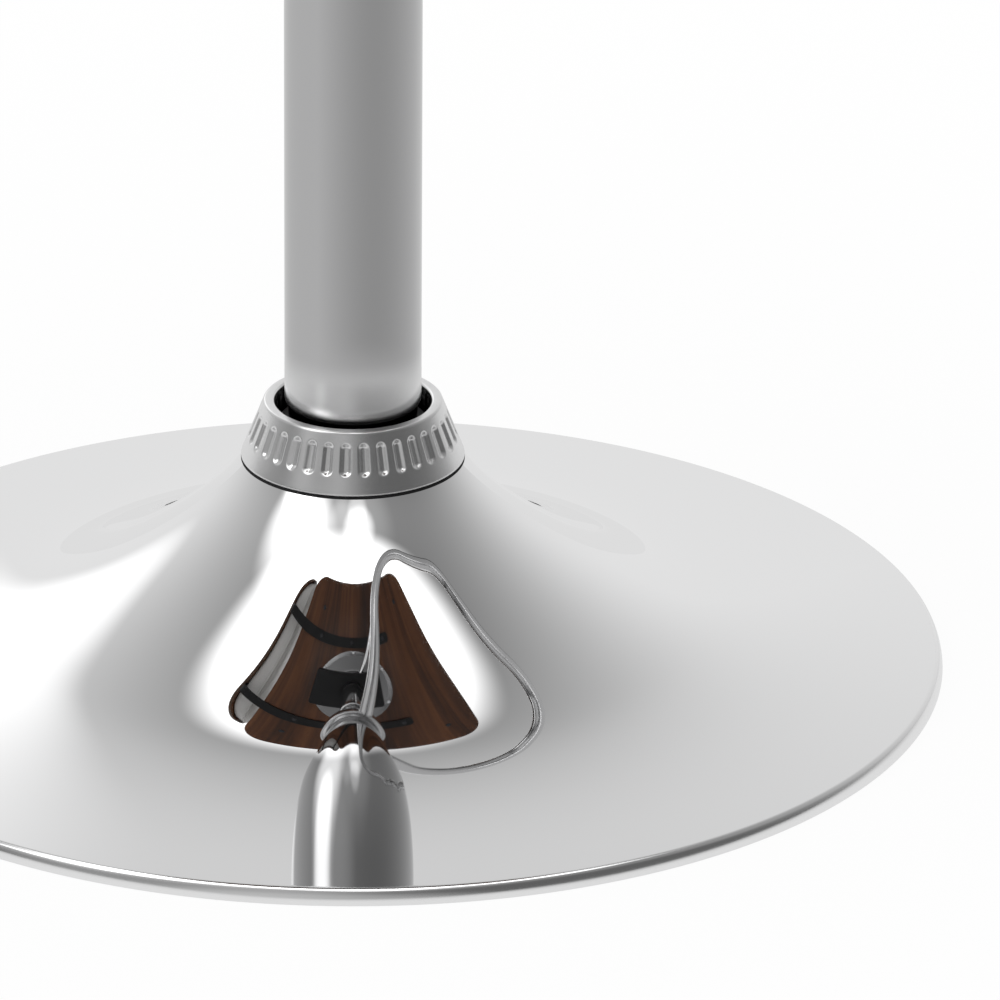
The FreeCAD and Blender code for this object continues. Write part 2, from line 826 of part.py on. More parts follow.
def make_lever_pivot():
    length = lever_block_width + 2 * (pivot_ear_gap + pivot_ear_thickness)
    pin = Part.makeCylinder(
        pivot_pin_radius, length, vec(lever_pivot_reach, -length / 2, lever_axis_z), vec(0, 1, 0))
    return lever_frame(pin)


def make_lever_ears():
    inner = lever_block_width / 2 + pivot_ear_gap
    low = lever_axis_z - pivot_ear_width / 2
    half = pivot_ear_width / 2
    ears = []
    for side in (-1, 1):
        near, far = sorted((side * inner, side * (inner + pivot_ear_thickness)))
        ear = slab(lever_pivot_reach - half, lever_pivot_reach + half, near, far, low, housing_top)
        rounded = edges_where(ear, lambda e: abs(e.BoundBox.ZMax - low) < bearing_gap and e.BoundBox.YLength > bearing_gap)
        ears.append(ear.makeFillet(half * 0.7, rounded))
    hole = Part.makeCylinder(
        pivot_pin_radius + seat_clearance, housing_half_width,
        vec(lever_pivot_reach, -housing_half_width / 2, lever_axis_z), vec(0, 1, 0))
    return lever_frame(Part.makeCompound([ear.cut(hole) for ear in ears]))


def make_valve_pin():
    return disc(valve_pin_radius, valve_pin_top - valve_pin_length, valve_pin_top)


def seat_outline(inset, height, pull=0.0):
    """Wire of the seat's plan: straight or drawn-in sides, round corners, bowed front."""
    corner = board_corner - inset
    rear = board_rear + inset
    side = board_half_width - inset
    sweep = board_front_sweep - inset
    sweep_x = board_front - board_front_sweep
    tip_x = sweep_x + math.sqrt((sweep - corner) ** 2 - (side - corner) ** 2)
    share = sweep / (sweep - corner)
    meet = vec(sweep_x + (tip_x - sweep_x) * share, (side - corner) * share, height)
    bisect = vec(meet.x - tip_x, meet.y - (side - corner), 0).normalize() + vec(0, 1, 0)
    bisect = bisect.normalize()
    tip = vec(tip_x, side - corner, height)
    rear_centre = vec(rear + corner, side - corner, height)
    diagonal = vec(-1, 1, 0).normalize()

    def mirrored(point):
        return vec(point.x, -point.y, point.z)

    def side_edge(start, end):
        if not pull:
            return Part.LineSegment(start, end).toShape()
        inwards = -pull if start.y > 0 else pull
        return Part.Arc(start, (start + end) * 0.5 + vec(0, inwards, 0), end).toShape()

    rear_low = vec(rear, side - corner, height)
    rear_high = vec(rear + corner, side, height)
    front_high = vec(tip_x, side, height)
    edges = [
        Part.LineSegment(mirrored(rear_low), rear_low).toShape(),
        Part.Arc(rear_low, rear_centre + diagonal * corner, rear_high).toShape(),
        side_edge(rear_high, front_high),
        Part.Arc(front_high, tip + bisect * corner, meet).toShape(),
        Part.Arc(meet, vec(sweep_x + sweep, 0, height), mirrored(meet)).toShape(),
        Part.Arc(mirrored(meet), mirrored(tip + bisect * corner), mirrored(front_high)).toShape(),
        side_edge(mirrored(front_high), mirrored(rear_high)),
        Part.Arc(mirrored(rear_high), mirrored(rear_centre + diagonal * corner), mirrored(rear_low)).toShape(),
    ]
    return Part.Wire(edges)


def pad_screw_places():
    return [(x, y) for x in (pad_screw_x_rear, pad_screw_x_front) for y in (-pad_screw_y, pad_screw_y)]


def bracket_screw_places():
    run = bracket_front - board_rear
    return [
        (bracket_front - run * share, side * bracket_spacing)
        for share in bracket_screw_xs_shares for side in (-1, 1)
    ]


def dish_screw_places():
    reach = dish_radius - dish_rim_width / 2
    step = 2 * math.pi / dish_screw_count
    return [
        (reach * math.cos(step * (k + 0.5)), reach * math.sin(step * (k + 0.5)))
        for k in range(dish_screw_count)
    ]


def make_seat_board():
    board = Part.Face(seat_outline(0, board_underside)).extrude(vec(0, 0, board_thickness))
    rims = edges_where(board, lambda e: e.BoundBox.ZLength < bearing_gap)
    board = board.makeFillet(board_edge_round, rims)
    deep = board_underside + bracket_screw_length - bracket_thickness
    holes = at_places(
        disc(pad_screw_radius + seat_clearance, board_underside - overrun, board_top + overrun),
        pad_screw_places())
    holes += at_places(
        disc(bracket_screw_radius + seat_clearance, board_underside - overrun, deep + bearing_gap),
        bracket_screw_places())
    blind = board_underside - dish_sheet + dish_screw_length
    holes += at_places(
        disc(dish_screw_radius + seat_clearance, board_underside - overrun, blind + bearing_gap),
        dish_screw_places())
    return board.cut(holes)


def make_seat_pad_board():
    panel = Part.Face(seat_outline(pad_board_inset, board_top)).extrude(vec(0, 0, pad_board_thickness))
    holes = at_places(
        disc(pad_screw_radius + seat_clearance, board_underside, board_top + pad_board_thickness + overrun),
        pad_screw_places())
    return panel.cut(holes)


def rim_of(shape, facing):
    """Edges round the largest face on the side that a direction points to."""
    middle = shape.Solids[0].CenterOfMass
    faces = [face for face in shape.Faces if (face.CenterOfMass - middle).dot(facing) > 0]
    return max(faces, key=lambda face: face.Area).OuterWire.Edges


def make_seat_pad():
    """Padding with a crowned top, soft edges and sides that are drawn in, hollowed for its board."""
    bottom = board_top + soft_clearance
    top = board_top + pad_height
    half = board_half_width - pad_inset
    crown_radius = (half ** 2 + pad_crown ** 2) / (2 * pad_crown)
    body = Part.Face(seat_outline(pad_inset, bottom, pad_side_pull)).extrude(vec(0, 0, top - bottom))
    crown = Part.makeSphere(crown_radius, vec(pad_crown_x, 0, top - crown_radius))
    body = body.common(crown)
    body = body.makeFillet(pad_upper_round, rim_of(body, axis_z))
    body = body.makeFillet(pad_lower_round, rim_of(body, axis_z * -1))
    recess_top = board_top + pad_board_thickness + soft_clearance
    recess = Part.Face(seat_outline(pad_board_inset - soft_clearance, board_top - overrun))
    return body.cut(recess.extrude(vec(0, 0, recess_top - board_top + overrun)))


def make_pad_screws():
    length = board_thickness + pad_board_thickness - bearing_gap
    screw = screw_up(pad_screw_radius, pad_screw_head_radius, pad_screw_head, board_underside, length)
    return Part.makeCompound(at_places(screw, pad_screw_places()))


def back_point(forwards, up, across=0.0):
    """A point given from the shell's lower rear line: square to the shell, up it, and along Y."""
    x = back_plane + forwards * math.cos(recline) - up * math.sin(recline)
    z = back_bottom + forwards * math.sin(recline) + up * math.cos(recline)
    return vec(x, across, z)


def wrap_forward(across, radius):
    """How far forward a wrapped face lies at a distance from the middle."""
    beyond = abs(across) - back_flat_half_width
    if beyond <= 0:
        return 0.0
    return radius - math.sqrt(radius ** 2 - beyond ** 2)


def back_section(rear_depth, front_depth, up, half, hollow=None):
    """Plan wire at one height up the back: a bent sheet, or padding with one curved front."""
    flat = back_flat_half_width
    middle = (flat + half) / 2

    def face_point(depth, across):
        return back_point(depth + wrap_forward(across, back_wrap_radius - depth), up, across)

    def bend(depth, side):
        return Part.Arc(*[face_point(depth, side * across) for across in (flat, middle, half)]).toShape()

    def straight(start, end):
        return Part.LineSegment(start, end).toShape()

    rear_right, rear_left = face_point(rear_depth, half), face_point(rear_depth, -half)
    edges = [
        straight(face_point(rear_depth, -flat), face_point(rear_depth, flat)),
        bend(rear_depth, 1), bend(rear_depth, -1),
    ]
    if hollow is None:
        front_right, front_left = face_point(front_depth, half), face_point(front_depth, -half)
        edges += [
            bend(front_depth, 1), bend(front_depth, -1),
            straight(face_point(front_depth, -flat), face_point(front_depth, flat)),
        ]
    else:
        front_right, front_left = [back_point(front_depth + hollow, up, side * half) for side in (1, -1)]
        edges.append(Part.Arc(front_right, back_point(front_depth, up), front_left).toShape())
    edges += [straight(rear_right, front_right), straight(rear_left, front_left)]
    return Part.Wire(Part.__sortEdges__(edges))


def back_outline_prism(inset, depth_from, depth_to):
    """Block with the back's rounded elevation, used to trim the shell and its board."""
    half = back_half_width - inset
    low, high = inset, back_height - inset
    corners = [(-half, low), (half, low), (half, high), (-half, high)]
    points = [back_point(depth_from, up, across) for across, up in corners]
    face = Part.Face(Part.makePolygon(points + points[:1]))
    push = back_point(depth_to, 0) - back_point(depth_from, 0)
    block = face.extrude(push)
    uprights = edges_where(block, lambda e: (
        abs(e.Length - (depth_to - depth_from)) < bearing_gap and e.BoundBox.YLength < bearing_gap))
    return block.makeFillet(back_corner - inset, uprights)


def shell_depth_limit():
    return wrap_forward(back_half_width, back_wrap_radius) + back_shell_thickness + overrun


def shell_outline_edges(shell):
    """Edges of the shell's front and rear faces that lie on its elevation's outline."""
    trimming = back_outline_prism(0, -overrun, shell_depth_limit())
    skin = Part.makeCompound(trimming.Faces)
    return edges_where(shell, lambda e: (
        e.Length > back_shell_thickness + overrun
        and skin.distToShape(Part.Vertex(e.valueAt((e.FirstParameter + e.LastParameter) / 2)))[0] < bearing_gap))


def make_back_shell():
    up = back_point(0, back_height + overrun) - back_point(0, -overrun)
    section = back_section(0, back_shell_thickness, -overrun, back_half_width + overrun)
    sheet = Part.Face(section).extrude(up)
    shell = sheet.common(back_outline_prism(0, -overrun, shell_depth_limit()))
    shell = shell.makeFillet(back_edge_round, shell_outline_edges(shell))
    holes = [back_screw_cut(side, share) for side in (-1, 1) for share in back_screw_heights_shares]
    return shell.cut(holes)


def back_screw_height(share):
    """Distance up the back of a screw, from its share of the bracket's upright."""
    knee = (board_underside - back_bottom) / math.cos(recline)
    return knee + bracket_upright * share


def back_screw_cut(side, share):
    foot = back_point(-overrun, back_screw_height(share), side * bracket_spacing)
    along = (back_point(overrun, 0) - back_point(0, 0)).normalize()
    return Part.makeCylinder(back_screw_radius + seat_clearance, back_shell_thickness + 2 * overrun, foot, along)


def bracket_depths():
    """Distance from the shell's rear face to the bracket's rear and front faces."""
    return back_shell_thickness, back_shell_thickness + bracket_thickness


def make_bracket(side):
    """Flat bar under the board that bends up against the shell's inner face."""
    rear_depth, front_depth = bracket_depths()

    def knee(depth, height):
        up = (height - back_bottom - depth * math.sin(recline)) / math.cos(recline)
        return back_point(depth, up)

    head_up = back_screw_height(1.0)
    profile = [
        vec(bracket_front, 0, bracket_underside), vec(bracket_front, 0, board_underside),
        knee(front_depth, board_underside), back_point(front_depth, head_up),
        back_point(rear_depth, head_up), knee(rear_depth, bracket_underside),
    ]
    face = Part.Face(Part.makePolygon(profile + profile[:1]))
    bar = face.extrude(vec(0, bracket_width, 0))
    bar.translate(vec(0, side * bracket_spacing - bracket_width / 2, 0))
    for depth, height, radius in (
        (front_depth, board_underside, bracket_bend),
        (rear_depth, bracket_underside, bracket_bend + bracket_thickness),
    ):
        corner = knee(depth, height)
        bend = edges_where(bar, lambda e: (
            e.BoundBox.YLength > bracket_width / 2
            and abs(centre_of(e).x - corner.x) < bearing_gap and abs(centre_of(e).z - corner.z) < bearing_gap))
        bar = bar.makeFillet(radius, bend)
    ends = edges_where(bar, lambda e: abs(e.Length - bracket_thickness) < bearing_gap)
    bar = bar.makeFillet(bracket_end_corner, ends)
    holes = [
        disc(bracket_screw_radius + seat_clearance, bracket_underside - overrun, board_top, x, y)
        for x, y in bracket_screw_places() if y * side > 0
    ]
    for share in back_screw_heights_shares:
        foot = back_point(0, back_screw_height(share), side * bracket_spacing)
        along = (back_point(overrun, 0) - back_point(0, 0)).normalize()
        holes.append(Part.makeCylinder(back_screw_radius + seat_clearance, 2 * front_depth, foot, along))
    return bar.cut(holes)


def make_bracket_screws():
    screw = screw_up(
        bracket_screw_radius, bracket_screw_head_radius, bracket_screw_head,
        bracket_underside, bracket_screw_length)
    return Part.makeCompound(at_places(screw, bracket_screw_places()))


def make_back_screws():
    along = (back_point(overrun, 0) - back_point(0, 0)).normalize()
    screws = []
    for side in (-1, 1):
        for share in back_screw_heights_shares:
            seat = back_point(0, back_screw_height(share), side * bracket_spacing)
            screw = Part.makeCylinder(
                back_screw_radius, bracket_depths()[1] - bearing_gap, seat, along)
            head = Part.makeCone(
                back_screw_head_radius * 0.7, back_screw_head_radius, back_screw_head,
                seat - along * back_screw_head, along)
            screws.append(head.fuse(screw))
    return Part.makeCompound(screws)


def back_board_depths():
    rear = back_shell_thickness
    return rear, rear + bracket_thickness


def make_back_pad_board():
    """Flat panel between shell and pad, slotted for the two brackets."""
    rear, front = back_board_depths()
    half = back_flat_half_width
    board = back_block(-half, half, back_board_inset, back_height - back_board_inset, rear, front)
    slot_half = bracket_width / 2 + back_board_slot_gap
    slot_top = back_screw_height(1.0) + back_board_slot_gap
    slots = [
        back_block(
            side * bracket_spacing - slot_half, side * bracket_spacing + slot_half,
            -overrun, slot_top, rear - overrun, front + overrun)
        for side in (-1, 1)
    ]
    return board.cut(slots)


def back_block(half_from, half_to, low, high, depth_from, depth_to):
    """Square block set out on the back's own directions."""
    corners = [(half_from, low), (half_to, low), (half_to, high), (half_from, high)]
    points = [back_point(depth_from, up, across) for across, up in corners]
    push = back_point(depth_to, 0) - back_point(depth_from, 0)
    return Part.Face(Part.makePolygon(points + points[:1])).extrude(push)


def make_back_pad():
    """Padding between the wrapped sides, hollowed for its board and the two brackets."""
    rear = back_shell_thickness + soft_clearance
    wide = back_half_width - back_pad_inset + overrun
    sections = [
        back_section(rear, rear + back_pad_thickness * thick, back_height * share, wide, back_pad_hollow)
        for share, thick in back_pad_shares
    ]
    reach = back_pad_thickness + shell_depth_limit()
    body = Part.makeLoft(sections, True, False).common(back_outline_prism(back_pad_inset, -overrun, reach))
    forwards = (back_point(overrun, 0) - back_point(0, 0)).normalize()
    body = body.makeFillet(back_pad_round, rim_of(body, forwards))
    board_front = back_board_depths()[1] + soft_clearance
    half = back_flat_half_width + soft_clearance
    low, high = back_board_inset - soft_clearance, back_height - back_board_inset + soft_clearance
    cuts = [back_block(-half, half, low, high, 0, board_front)]
    slot_half = bracket_width / 2 + soft_clearance
    for side in (-1, 1):
        middle = side * bracket_spacing
        cuts.append(back_block(middle - slot_half, middle + slot_half, -overrun, high / 2, 0, board_front))
    return body.cut(cuts)


def build():
    return {
        "base_shell": make_base_shell(),
        "floor_ring": make_floor_ring(),
        "ballast_plate": make_ballast_plate(),
        "base_hub": make_base_hub(),
        "collar_gasket": make_collar_gasket(),
        "collar_ring": make_collar_ring(),
        "column_tube": make_column_tube(),
        "guide_bush": make_guide_bush(),
        "footrest_collar": make_footrest_collar(),
        "footrest_hoop": make_footrest_hoop(),
        "footrest_set_screws": Part.makeCompound(set_screw_places(set_screw_radius)),
        "bearing_lower_race": make_lower_race(),
        "bearing_balls": make_bearing_balls(),
        "bearing_upper_race": make_upper_race(),
        "piston_rod": make_piston_rod(),
        "rod_clip": make_rod_clip(),
        "rubber_buffer": make_rubber_buffer(),
        "piston": make_piston(),
        "gas_cylinder": make_gas_cylinder(),
        "cylinder_gland": make_cylinder_gland(),
        "stop_sleeve": make_stop_sleeve(),
        "taper_hub": make_taper_hub(),
        "mechanism_housing": make_mechanism_housing(),
        "mounting_plate": make_mounting_plate(),
        "mount_dish": make_mount_dish(),
        "plate_bolts": make_plate_bolts(),
        "plate_nuts": make_plate_nuts(),
        "dish_screws": make_dish_screws(),
        "lever_ears": make_lever_ears(),
        "lever_pivot_pin": make_lever_pivot(),
        "lift_lever": make_lift_lever(),
        "lever_grip": make_lever_grip(),
        "valve_pin": make_valve_pin(),
        "seat_board": make_seat_board(),
        "seat_pad_board": make_seat_pad_board(),
        "seat_pad": make_seat_pad(),
        "pad_screws": make_pad_screws(),
        "back_bracket_left": make_bracket(1),
        "back_bracket_right": make_bracket(-1),
        "bracket_screws": make_bracket_screws(),
        "back_shell": make_back_shell(),
        "back_screws": make_back_screws(),
        "back_pad_board": make_back_pad_board(),
        "back_pad": make_back_pad(),
    }


os.makedirs("parts", exist_ok=True)
for name, shape in build().items():
    shape.exportStep("parts/" + name + ".step")
    box = shape.BoundBox
    print(
        f"{name:22s} solids {len(shape.Solids):2d} valid {shape.isValid()} volume {shape.Volume / 1000:9.2f} cm3 "
        f"x {box.XMin:7.1f} {box.XMax:7.1f} y {box.YMin:7.1f} {box.YMax:7.1f} z {box.ZMin:7.1f} {box.ZMax:7.1f}")
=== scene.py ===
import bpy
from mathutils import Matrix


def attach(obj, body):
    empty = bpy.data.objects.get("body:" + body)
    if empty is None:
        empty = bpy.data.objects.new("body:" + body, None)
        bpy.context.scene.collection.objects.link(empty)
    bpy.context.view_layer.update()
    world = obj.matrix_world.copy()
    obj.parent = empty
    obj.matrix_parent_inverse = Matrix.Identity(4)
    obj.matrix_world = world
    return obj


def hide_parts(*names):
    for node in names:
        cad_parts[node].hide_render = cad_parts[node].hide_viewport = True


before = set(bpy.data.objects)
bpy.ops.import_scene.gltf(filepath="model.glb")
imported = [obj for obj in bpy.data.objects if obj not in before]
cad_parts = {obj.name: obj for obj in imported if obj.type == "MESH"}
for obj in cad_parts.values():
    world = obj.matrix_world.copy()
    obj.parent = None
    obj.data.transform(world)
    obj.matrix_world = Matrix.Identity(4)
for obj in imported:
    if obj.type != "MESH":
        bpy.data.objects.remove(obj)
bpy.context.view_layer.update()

import bpy
import bmesh
import math
import numpy as np
from mathutils import Matrix

# Swivel bar stool. Sizes are in millimetres and go to metres where a mesh is made.
# +Z is up, +X is the way the sitter faces, and the floor is at zero.
print("frame loaded:", len(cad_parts), "nodes")
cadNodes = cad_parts


# Meshes from numpy arrays

def addMesh(name, points, faces, sharpAngle=32.0):
    # points in mm, faces as index rows; doubles are merged and the faces turned outwards
    mesh = bpy.data.meshes.new(name)
    mesh.from_pydata((np.asarray(points) * 0.001).tolist(), [], [list(map(int, face)) for face in faces])
    shape = bmesh.new()
    shape.from_mesh(mesh)
    bmesh.ops.remove_doubles(shape, verts=shape.verts, dist=1e-6)
    bmesh.ops.dissolve_degenerate(shape, edges=shape.edges, dist=1e-7)
    bmesh.ops.recalc_face_normals(shape, faces=shape.faces)
    shape.to_mesh(mesh)
    shape.free()
    mesh.shade_smooth()
    if sharpAngle:
        mesh.set_sharp_from_angle(angle=math.radians(sharpAngle))
    piece = bpy.data.objects.new(name, mesh)
    bpy.context.scene.collection.objects.link(piece)
    return piece


def gridFaces(rows, columns, closeRows=False):
    # quads between neighbours of a grid whose points run row by row, each row a closed loop
    i = np.arange(rows if closeRows else rows - 1)[:, None]
    j = np.arange(columns)[None, :]
    iNext, jNext = (i + 1) % rows, (j + 1) % columns
    corners = [i * columns + j, iNext * columns + j, iNext * columns + jNext, i * columns + jNext]
    quads = [np.broadcast_to(corner, np.broadcast_shapes(i.shape, j.shape)) for corner in corners]
    return np.stack(quads, -1).reshape(-1, 4)


def turnedGrid(radius, height, turn):
    # point(t, a) = (r(t) cos a, r(t) sin a, z(t))
    return np.stack([radius * np.cos(turn), radius * np.sin(turn), height + 0 * turn], -1)


def lathe(name, profile, steps=160, closed=True, sharpAngle=32.0):
    # a profile (r, z) with a full turn of a
    profile = np.asarray(profile, float)
    turn = np.linspace(0, 2 * math.pi, steps, endpoint=False)
    points = turnedGrid(profile[:, :1], profile[:, 1:], turn).reshape(-1, 3)
    return addMesh(name, points, gridFaces(len(profile), steps, closeRows=closed), sharpAngle)


def cornerArc(before, here, after, radius, count=None):
    # the arc that touches both sides of a corner: its centre, plus the rays to its start and to its end, each
    # weighed by the sine of its share of the swing; without a count it gets a point about every 2 mm
    back = (before - here) / np.linalg.norm(before - here)
    ahead = (after - here) / np.linalg.norm(after - here)
    half = math.acos(np.clip(back @ ahead, -1, 1)) / 2
    bisector = (back + ahead) / np.linalg.norm(back + ahead)
    centre = here + bisector * radius / math.sin(half)
    start, end = here + back * radius / math.tan(half), here + ahead * radius / math.tan(half)
    swing = math.pi - 2 * half
    share = np.linspace(0, 1, count or max(8, int(radius * swing / 2)))[:, None]
    ray = (start - centre) * np.sin((1 - share) * swing) + (end - centre) * np.sin(share * swing)
    return centre + ray / math.sin(swing)


def roundedProfile(corners, steps=6):
    # a closed outline from corners (x, y, radius), with an arc at each corner that has a radius
    corners = np.asarray(corners, float)
    out = []
    for before, here, after in zip(np.roll(corners, 1, 0), corners, np.roll(corners, -1, 0)):
        if here[2] > 0:
            out.append(cornerArc(before[:2], here[:2], after[:2], here[2], steps + 1))
        else:
            out.append(here[None, :2])
    return np.concatenate(out)


def roundedPath(corners, radius):
    # an open line through points in space, with an arc at each inner corner
    corners = np.asarray(corners, float)
    arcs = [cornerArc(*corners[k - 1:k + 2], radius) for k in range(1, len(corners) - 1)]
    return np.concatenate([corners[:1]] + arcs + [corners[-1:]])


def tubeAlong(name, path, radius, sides=32, closed=False, upright=(0, 0, 1)):
    # a circle carried along the path: path + radius (cos b side + sin b up), side square to path and up
    if closed:
        ahead = np.roll(path, -1, 0) - np.roll(path, 1, 0)
    else:
        ahead = np.gradient(path, axis=0)
    ahead /= np.linalg.norm(ahead, axis=1)[:, None]
    side = np.cross(ahead, np.asarray(upright, float))
    side /= np.linalg.norm(side, axis=1)[:, None]
    up = np.cross(side, ahead)
    b = np.linspace(0, 2 * math.pi, sides, endpoint=False)[None, :, None]
    points = path[:, None, :] + radius * (np.cos(b) * side[:, None, :] + np.sin(b) * up[:, None, :])
    faces = gridFaces(len(path), sides, closeRows=closed).tolist()
    if not closed:
        faces += [list(range(sides)), list(range((len(path) - 1) * sides, len(path) * sides))]
    return addMesh(name, points.reshape(-1, 3), faces)


def discRings(outline, shares):
    # scaled copies of an outline about its middle, from the middle (share 0) outwards
    middle = outline.mean(0)
    return [middle + (outline - middle) * share for share in shares]


# Shader nodes

class Wire:
    # a socket that Python's operators work on; each operator adds one Math node

    def __init__(self, tree, socket):
        self.tree = tree
        self.socket = socket

    def math(self, operation, *others):
        node = self.tree.nodes.new("ShaderNodeMath")
        node.operation = operation
        for slot, value in zip(node.inputs, (self,) + others):
            plug(self.tree, slot, value)
        return Wire(self.tree, node.outputs[0])

    def __add__(self, other):
        return self.math("ADD", other)

    def __mul__(self, other):
        return self.math("MULTIPLY", other)

    def __sub__(self, other):
        return self.math("SUBTRACT", other)

    def __rsub__(self, other):
        return (self * -1) + other

    __radd__ = __add__
    __rmul__ = __mul__

    def ramp(self, low, high, to=(0.0, 1.0), kind="SMOOTHSTEP"):
        # a smooth rise from to[0] at low to to[1] at high, held beyond them
        return addNode(self.tree, "ShaderNodeMapRange", {"interpolation_type": kind}, {
            "Value": self, "From Min": low, "From Max": high, "To Min": to[0], "To Max": to[1]})


def plug(tree, slot, value):
    # a wire is linked, a number fills every part of the socket, and a colour gets its fourth part
    if isinstance(value, Wire):
        tree.links.new(value.socket, slot)
    elif hasattr(slot.default_value, "__len__") and not hasattr(value, "__len__"):
        slot.default_value = [value] * len(slot.default_value)
    elif hasattr(slot.default_value, "__len__") and len(slot.default_value) == 4 and len(value) == 3:
        slot.default_value = tuple(value) + (1.0,)
    else:
        slot.default_value = value


def addNode(tree, kind, settings=None, inputs=None, output=0):
    # one node: its settings first, then its sockets by name or number; gives one of its outputs
    node = tree.nodes.new(kind)
    for key, value in (settings or {}).items():
        if key == "stops":
            ramp = node.color_ramp
            while len(ramp.elements) < len(value):
                ramp.elements.new(0.5)
            for element, (position, colour) in zip(ramp.elements, value):
                element.position = position
                element.color = tuple(colour) + (1.0,)
        else:
            setattr(node, key, value)
    for key, value in (inputs or {}).items():
        plug(tree, node.inputs[key], value)
    return Wire(tree, node.outputs[output])


def shaded(colour, share):
    return tuple(part * share for part in colour)


class Finish:
    # a material with one Principled shader; constants go straight to its sockets

    def __init__(self, name, **constants):
        self.material = bpy.data.materials.new(name)
        self.material.use_nodes = True
        self.tree = self.material.node_tree
        self.shader = self.tree.nodes["Principled BSDF"]
        self.place = addNode(self.tree, "ShaderNodeTexCoord", output="Object")
        for key, value in constants.items():
            self.feed(key, value)

    def feed(self, key, value):
        words = {"colour": "Base Color", "metal": "Metallic", "rough": "Roughness", "normal": "Normal",
                 "coat": "Coat Weight", "sheen": "Sheen Weight", "sheenRough": "Sheen Roughness",
                 "specular": "Specular IOR Level"}
        plug(self.tree, self.shader.inputs[words[key]], value)

    def node(self, kind, settings=None, inputs=None, output=0):
        return addNode(self.tree, kind, settings, inputs, output)

    def stretched(self, scale):
        # object coordinates, scaled along each axis
        return self.node("ShaderNodeMapping", None, {"Vector": self.place, "Scale": scale})

    def mixed(self, mask, first, second):
        # the first colour where the mask is 0, the second where it is 1 (sockets 6, 7 and 2 are the colours')
        return self.node("ShaderNodeMix", {"data_type": "RGBA"}, {"Factor": mask, 6: first, 7: second}, 2)

    def noise(self, scale, detail=3.0, rough=0.5, at=None, distortion=0.0):
        return self.node("ShaderNodeTexNoise", None, {
            "Vector": at or self.place, "Scale": scale, "Detail": detail, "Roughness": rough,
            "Distortion": distortion})

    def fromAxis(self):
        # distance from the stool's upright axis, and height above the floor
        flat = self.node("ShaderNodeVectorMath", {"operation": "MULTIPLY"}, {0: self.place, 1: (1, 1, 0)})
        distance = self.node("ShaderNodeVectorMath", {"operation": "LENGTH"}, {0: flat}, "Value")
        return distance, self.node("ShaderNodeSeparateXYZ", None, {0: self.place}, "Z")

    def bump(self, height, depth, strength, below=None):
        # a normal from a height field, laid over the bump below it if there is one
        inputs = {"Height": height, "Distance": depth, "Strength": strength}
        if below:
            inputs["Normal"] = below
        return self.node("ShaderNodeBump", None, inputs)


def mirrorChrome():
    # polished plating with a faint haze; handling dulls the rim
    wearStart, wearFull, wear = 0.2190, 0.2204, 0.14
    finish = Finish("mirrorChrome", colour=(0.905, 0.905, 0.908), metal=1.0)
    haze = finish.noise(14.0, 4.0, 0.6)
    distance, _ = finish.fromAxis()
    finish.feed("rough", haze.ramp(0.35, 0.75, (0.012, 0.035)) + distance.ramp(wearStart, wearFull) * wear)
    return finish.material


def plainChrome(name, colour, low, high):
    # bright plating; the gloss changes a little from place to place
    finish = Finish(name, metal=1.0)
    haze = finish.noise(60.0, 4.0, 0.6)
    worn = finish.noise(7.0, 2.0, 0.5)
    finish.feed("colour", finish.mixed(worn.ramp(0.3, 0.7), shaded(colour, 0.94), colour))
    finish.feed("rough", haze.ramp(0.3, 0.75, (low, high)))
    return finish.material


def drawnChrome(name, colour, rough, foot=None):
    # plated tube: faint lines along Z in the gloss, and a slight haze; foot holds three heights: below the
    # first the tube is painted near-black as painted shade, and from the second to the third a band fades out
    # upwards that is rougher (satin) and lighter in colour, its lighter colour being painted light
    finish = Finish(name, metal=1.0)
    lines = finish.noise(1.0, 3.0, 0.65, finish.stretched((900.0, 900.0, 9.0)))
    cloud = finish.noise(9.0, 3.0, 0.5)
    gloss = lines * 0.03 + cloud * 0.03 + (rough - 0.03)
    if foot:
        shoulder, satinLightLow, satinLightHigh = foot
        _, height = finish.fromAxis()
        # satin band with painted light: the gloss gets rougher and the colour lighter towards the foot, the
        # lighter colour being painted light
        satinAndPaintedLight = height.ramp(satinLightHigh, satinLightLow)
        gloss = gloss + satinAndPaintedLight * 0.18
        colour = finish.mixed(satinAndPaintedLight, colour, shaded(colour, 1.45))
        # painted shade: the tube below the shoulder is near-black for the shade inside the collar
        paintedShadeBelowShoulder = height.ramp(shoulder, shoulder - 0.001)
        colour = finish.mixed(paintedShadeBelowShoulder, colour, (0.010, 0.010, 0.010))
    finish.feed("colour", colour)
    finish.feed("rough", gloss)
    return finish.material


def castChrome():
    # satin plated ring, a little cloudy; its bore is painted near-black below the lip as painted shade
    boreOuter, boreInner, lipTop, lipFoot = 0.0312, 0.0306, 0.1030, 0.1012
    finish = Finish("castChrome", metal=1.0)
    grain = finish.noise(900.0, 2.0, 0.5)
    cloud = finish.noise(40.0, 3.0, 0.6)
    tone = finish.mixed(cloud.ramp(0.35, 0.7), (0.78, 0.78, 0.782), (0.84, 0.84, 0.842))
    distance, height = finish.fromAxis()
    # painted shade: the bore below the lip is near-black for the shade inside the ring
    bore = distance.ramp(boreOuter, boreInner) * height.ramp(lipTop, lipFoot)
    finish.feed("colour", finish.mixed(bore, tone, (0.012, 0.012, 0.012)))
    finish.feed("rough", grain * 0.03 + cloud * 0.06 + 0.20)
    return finish.material


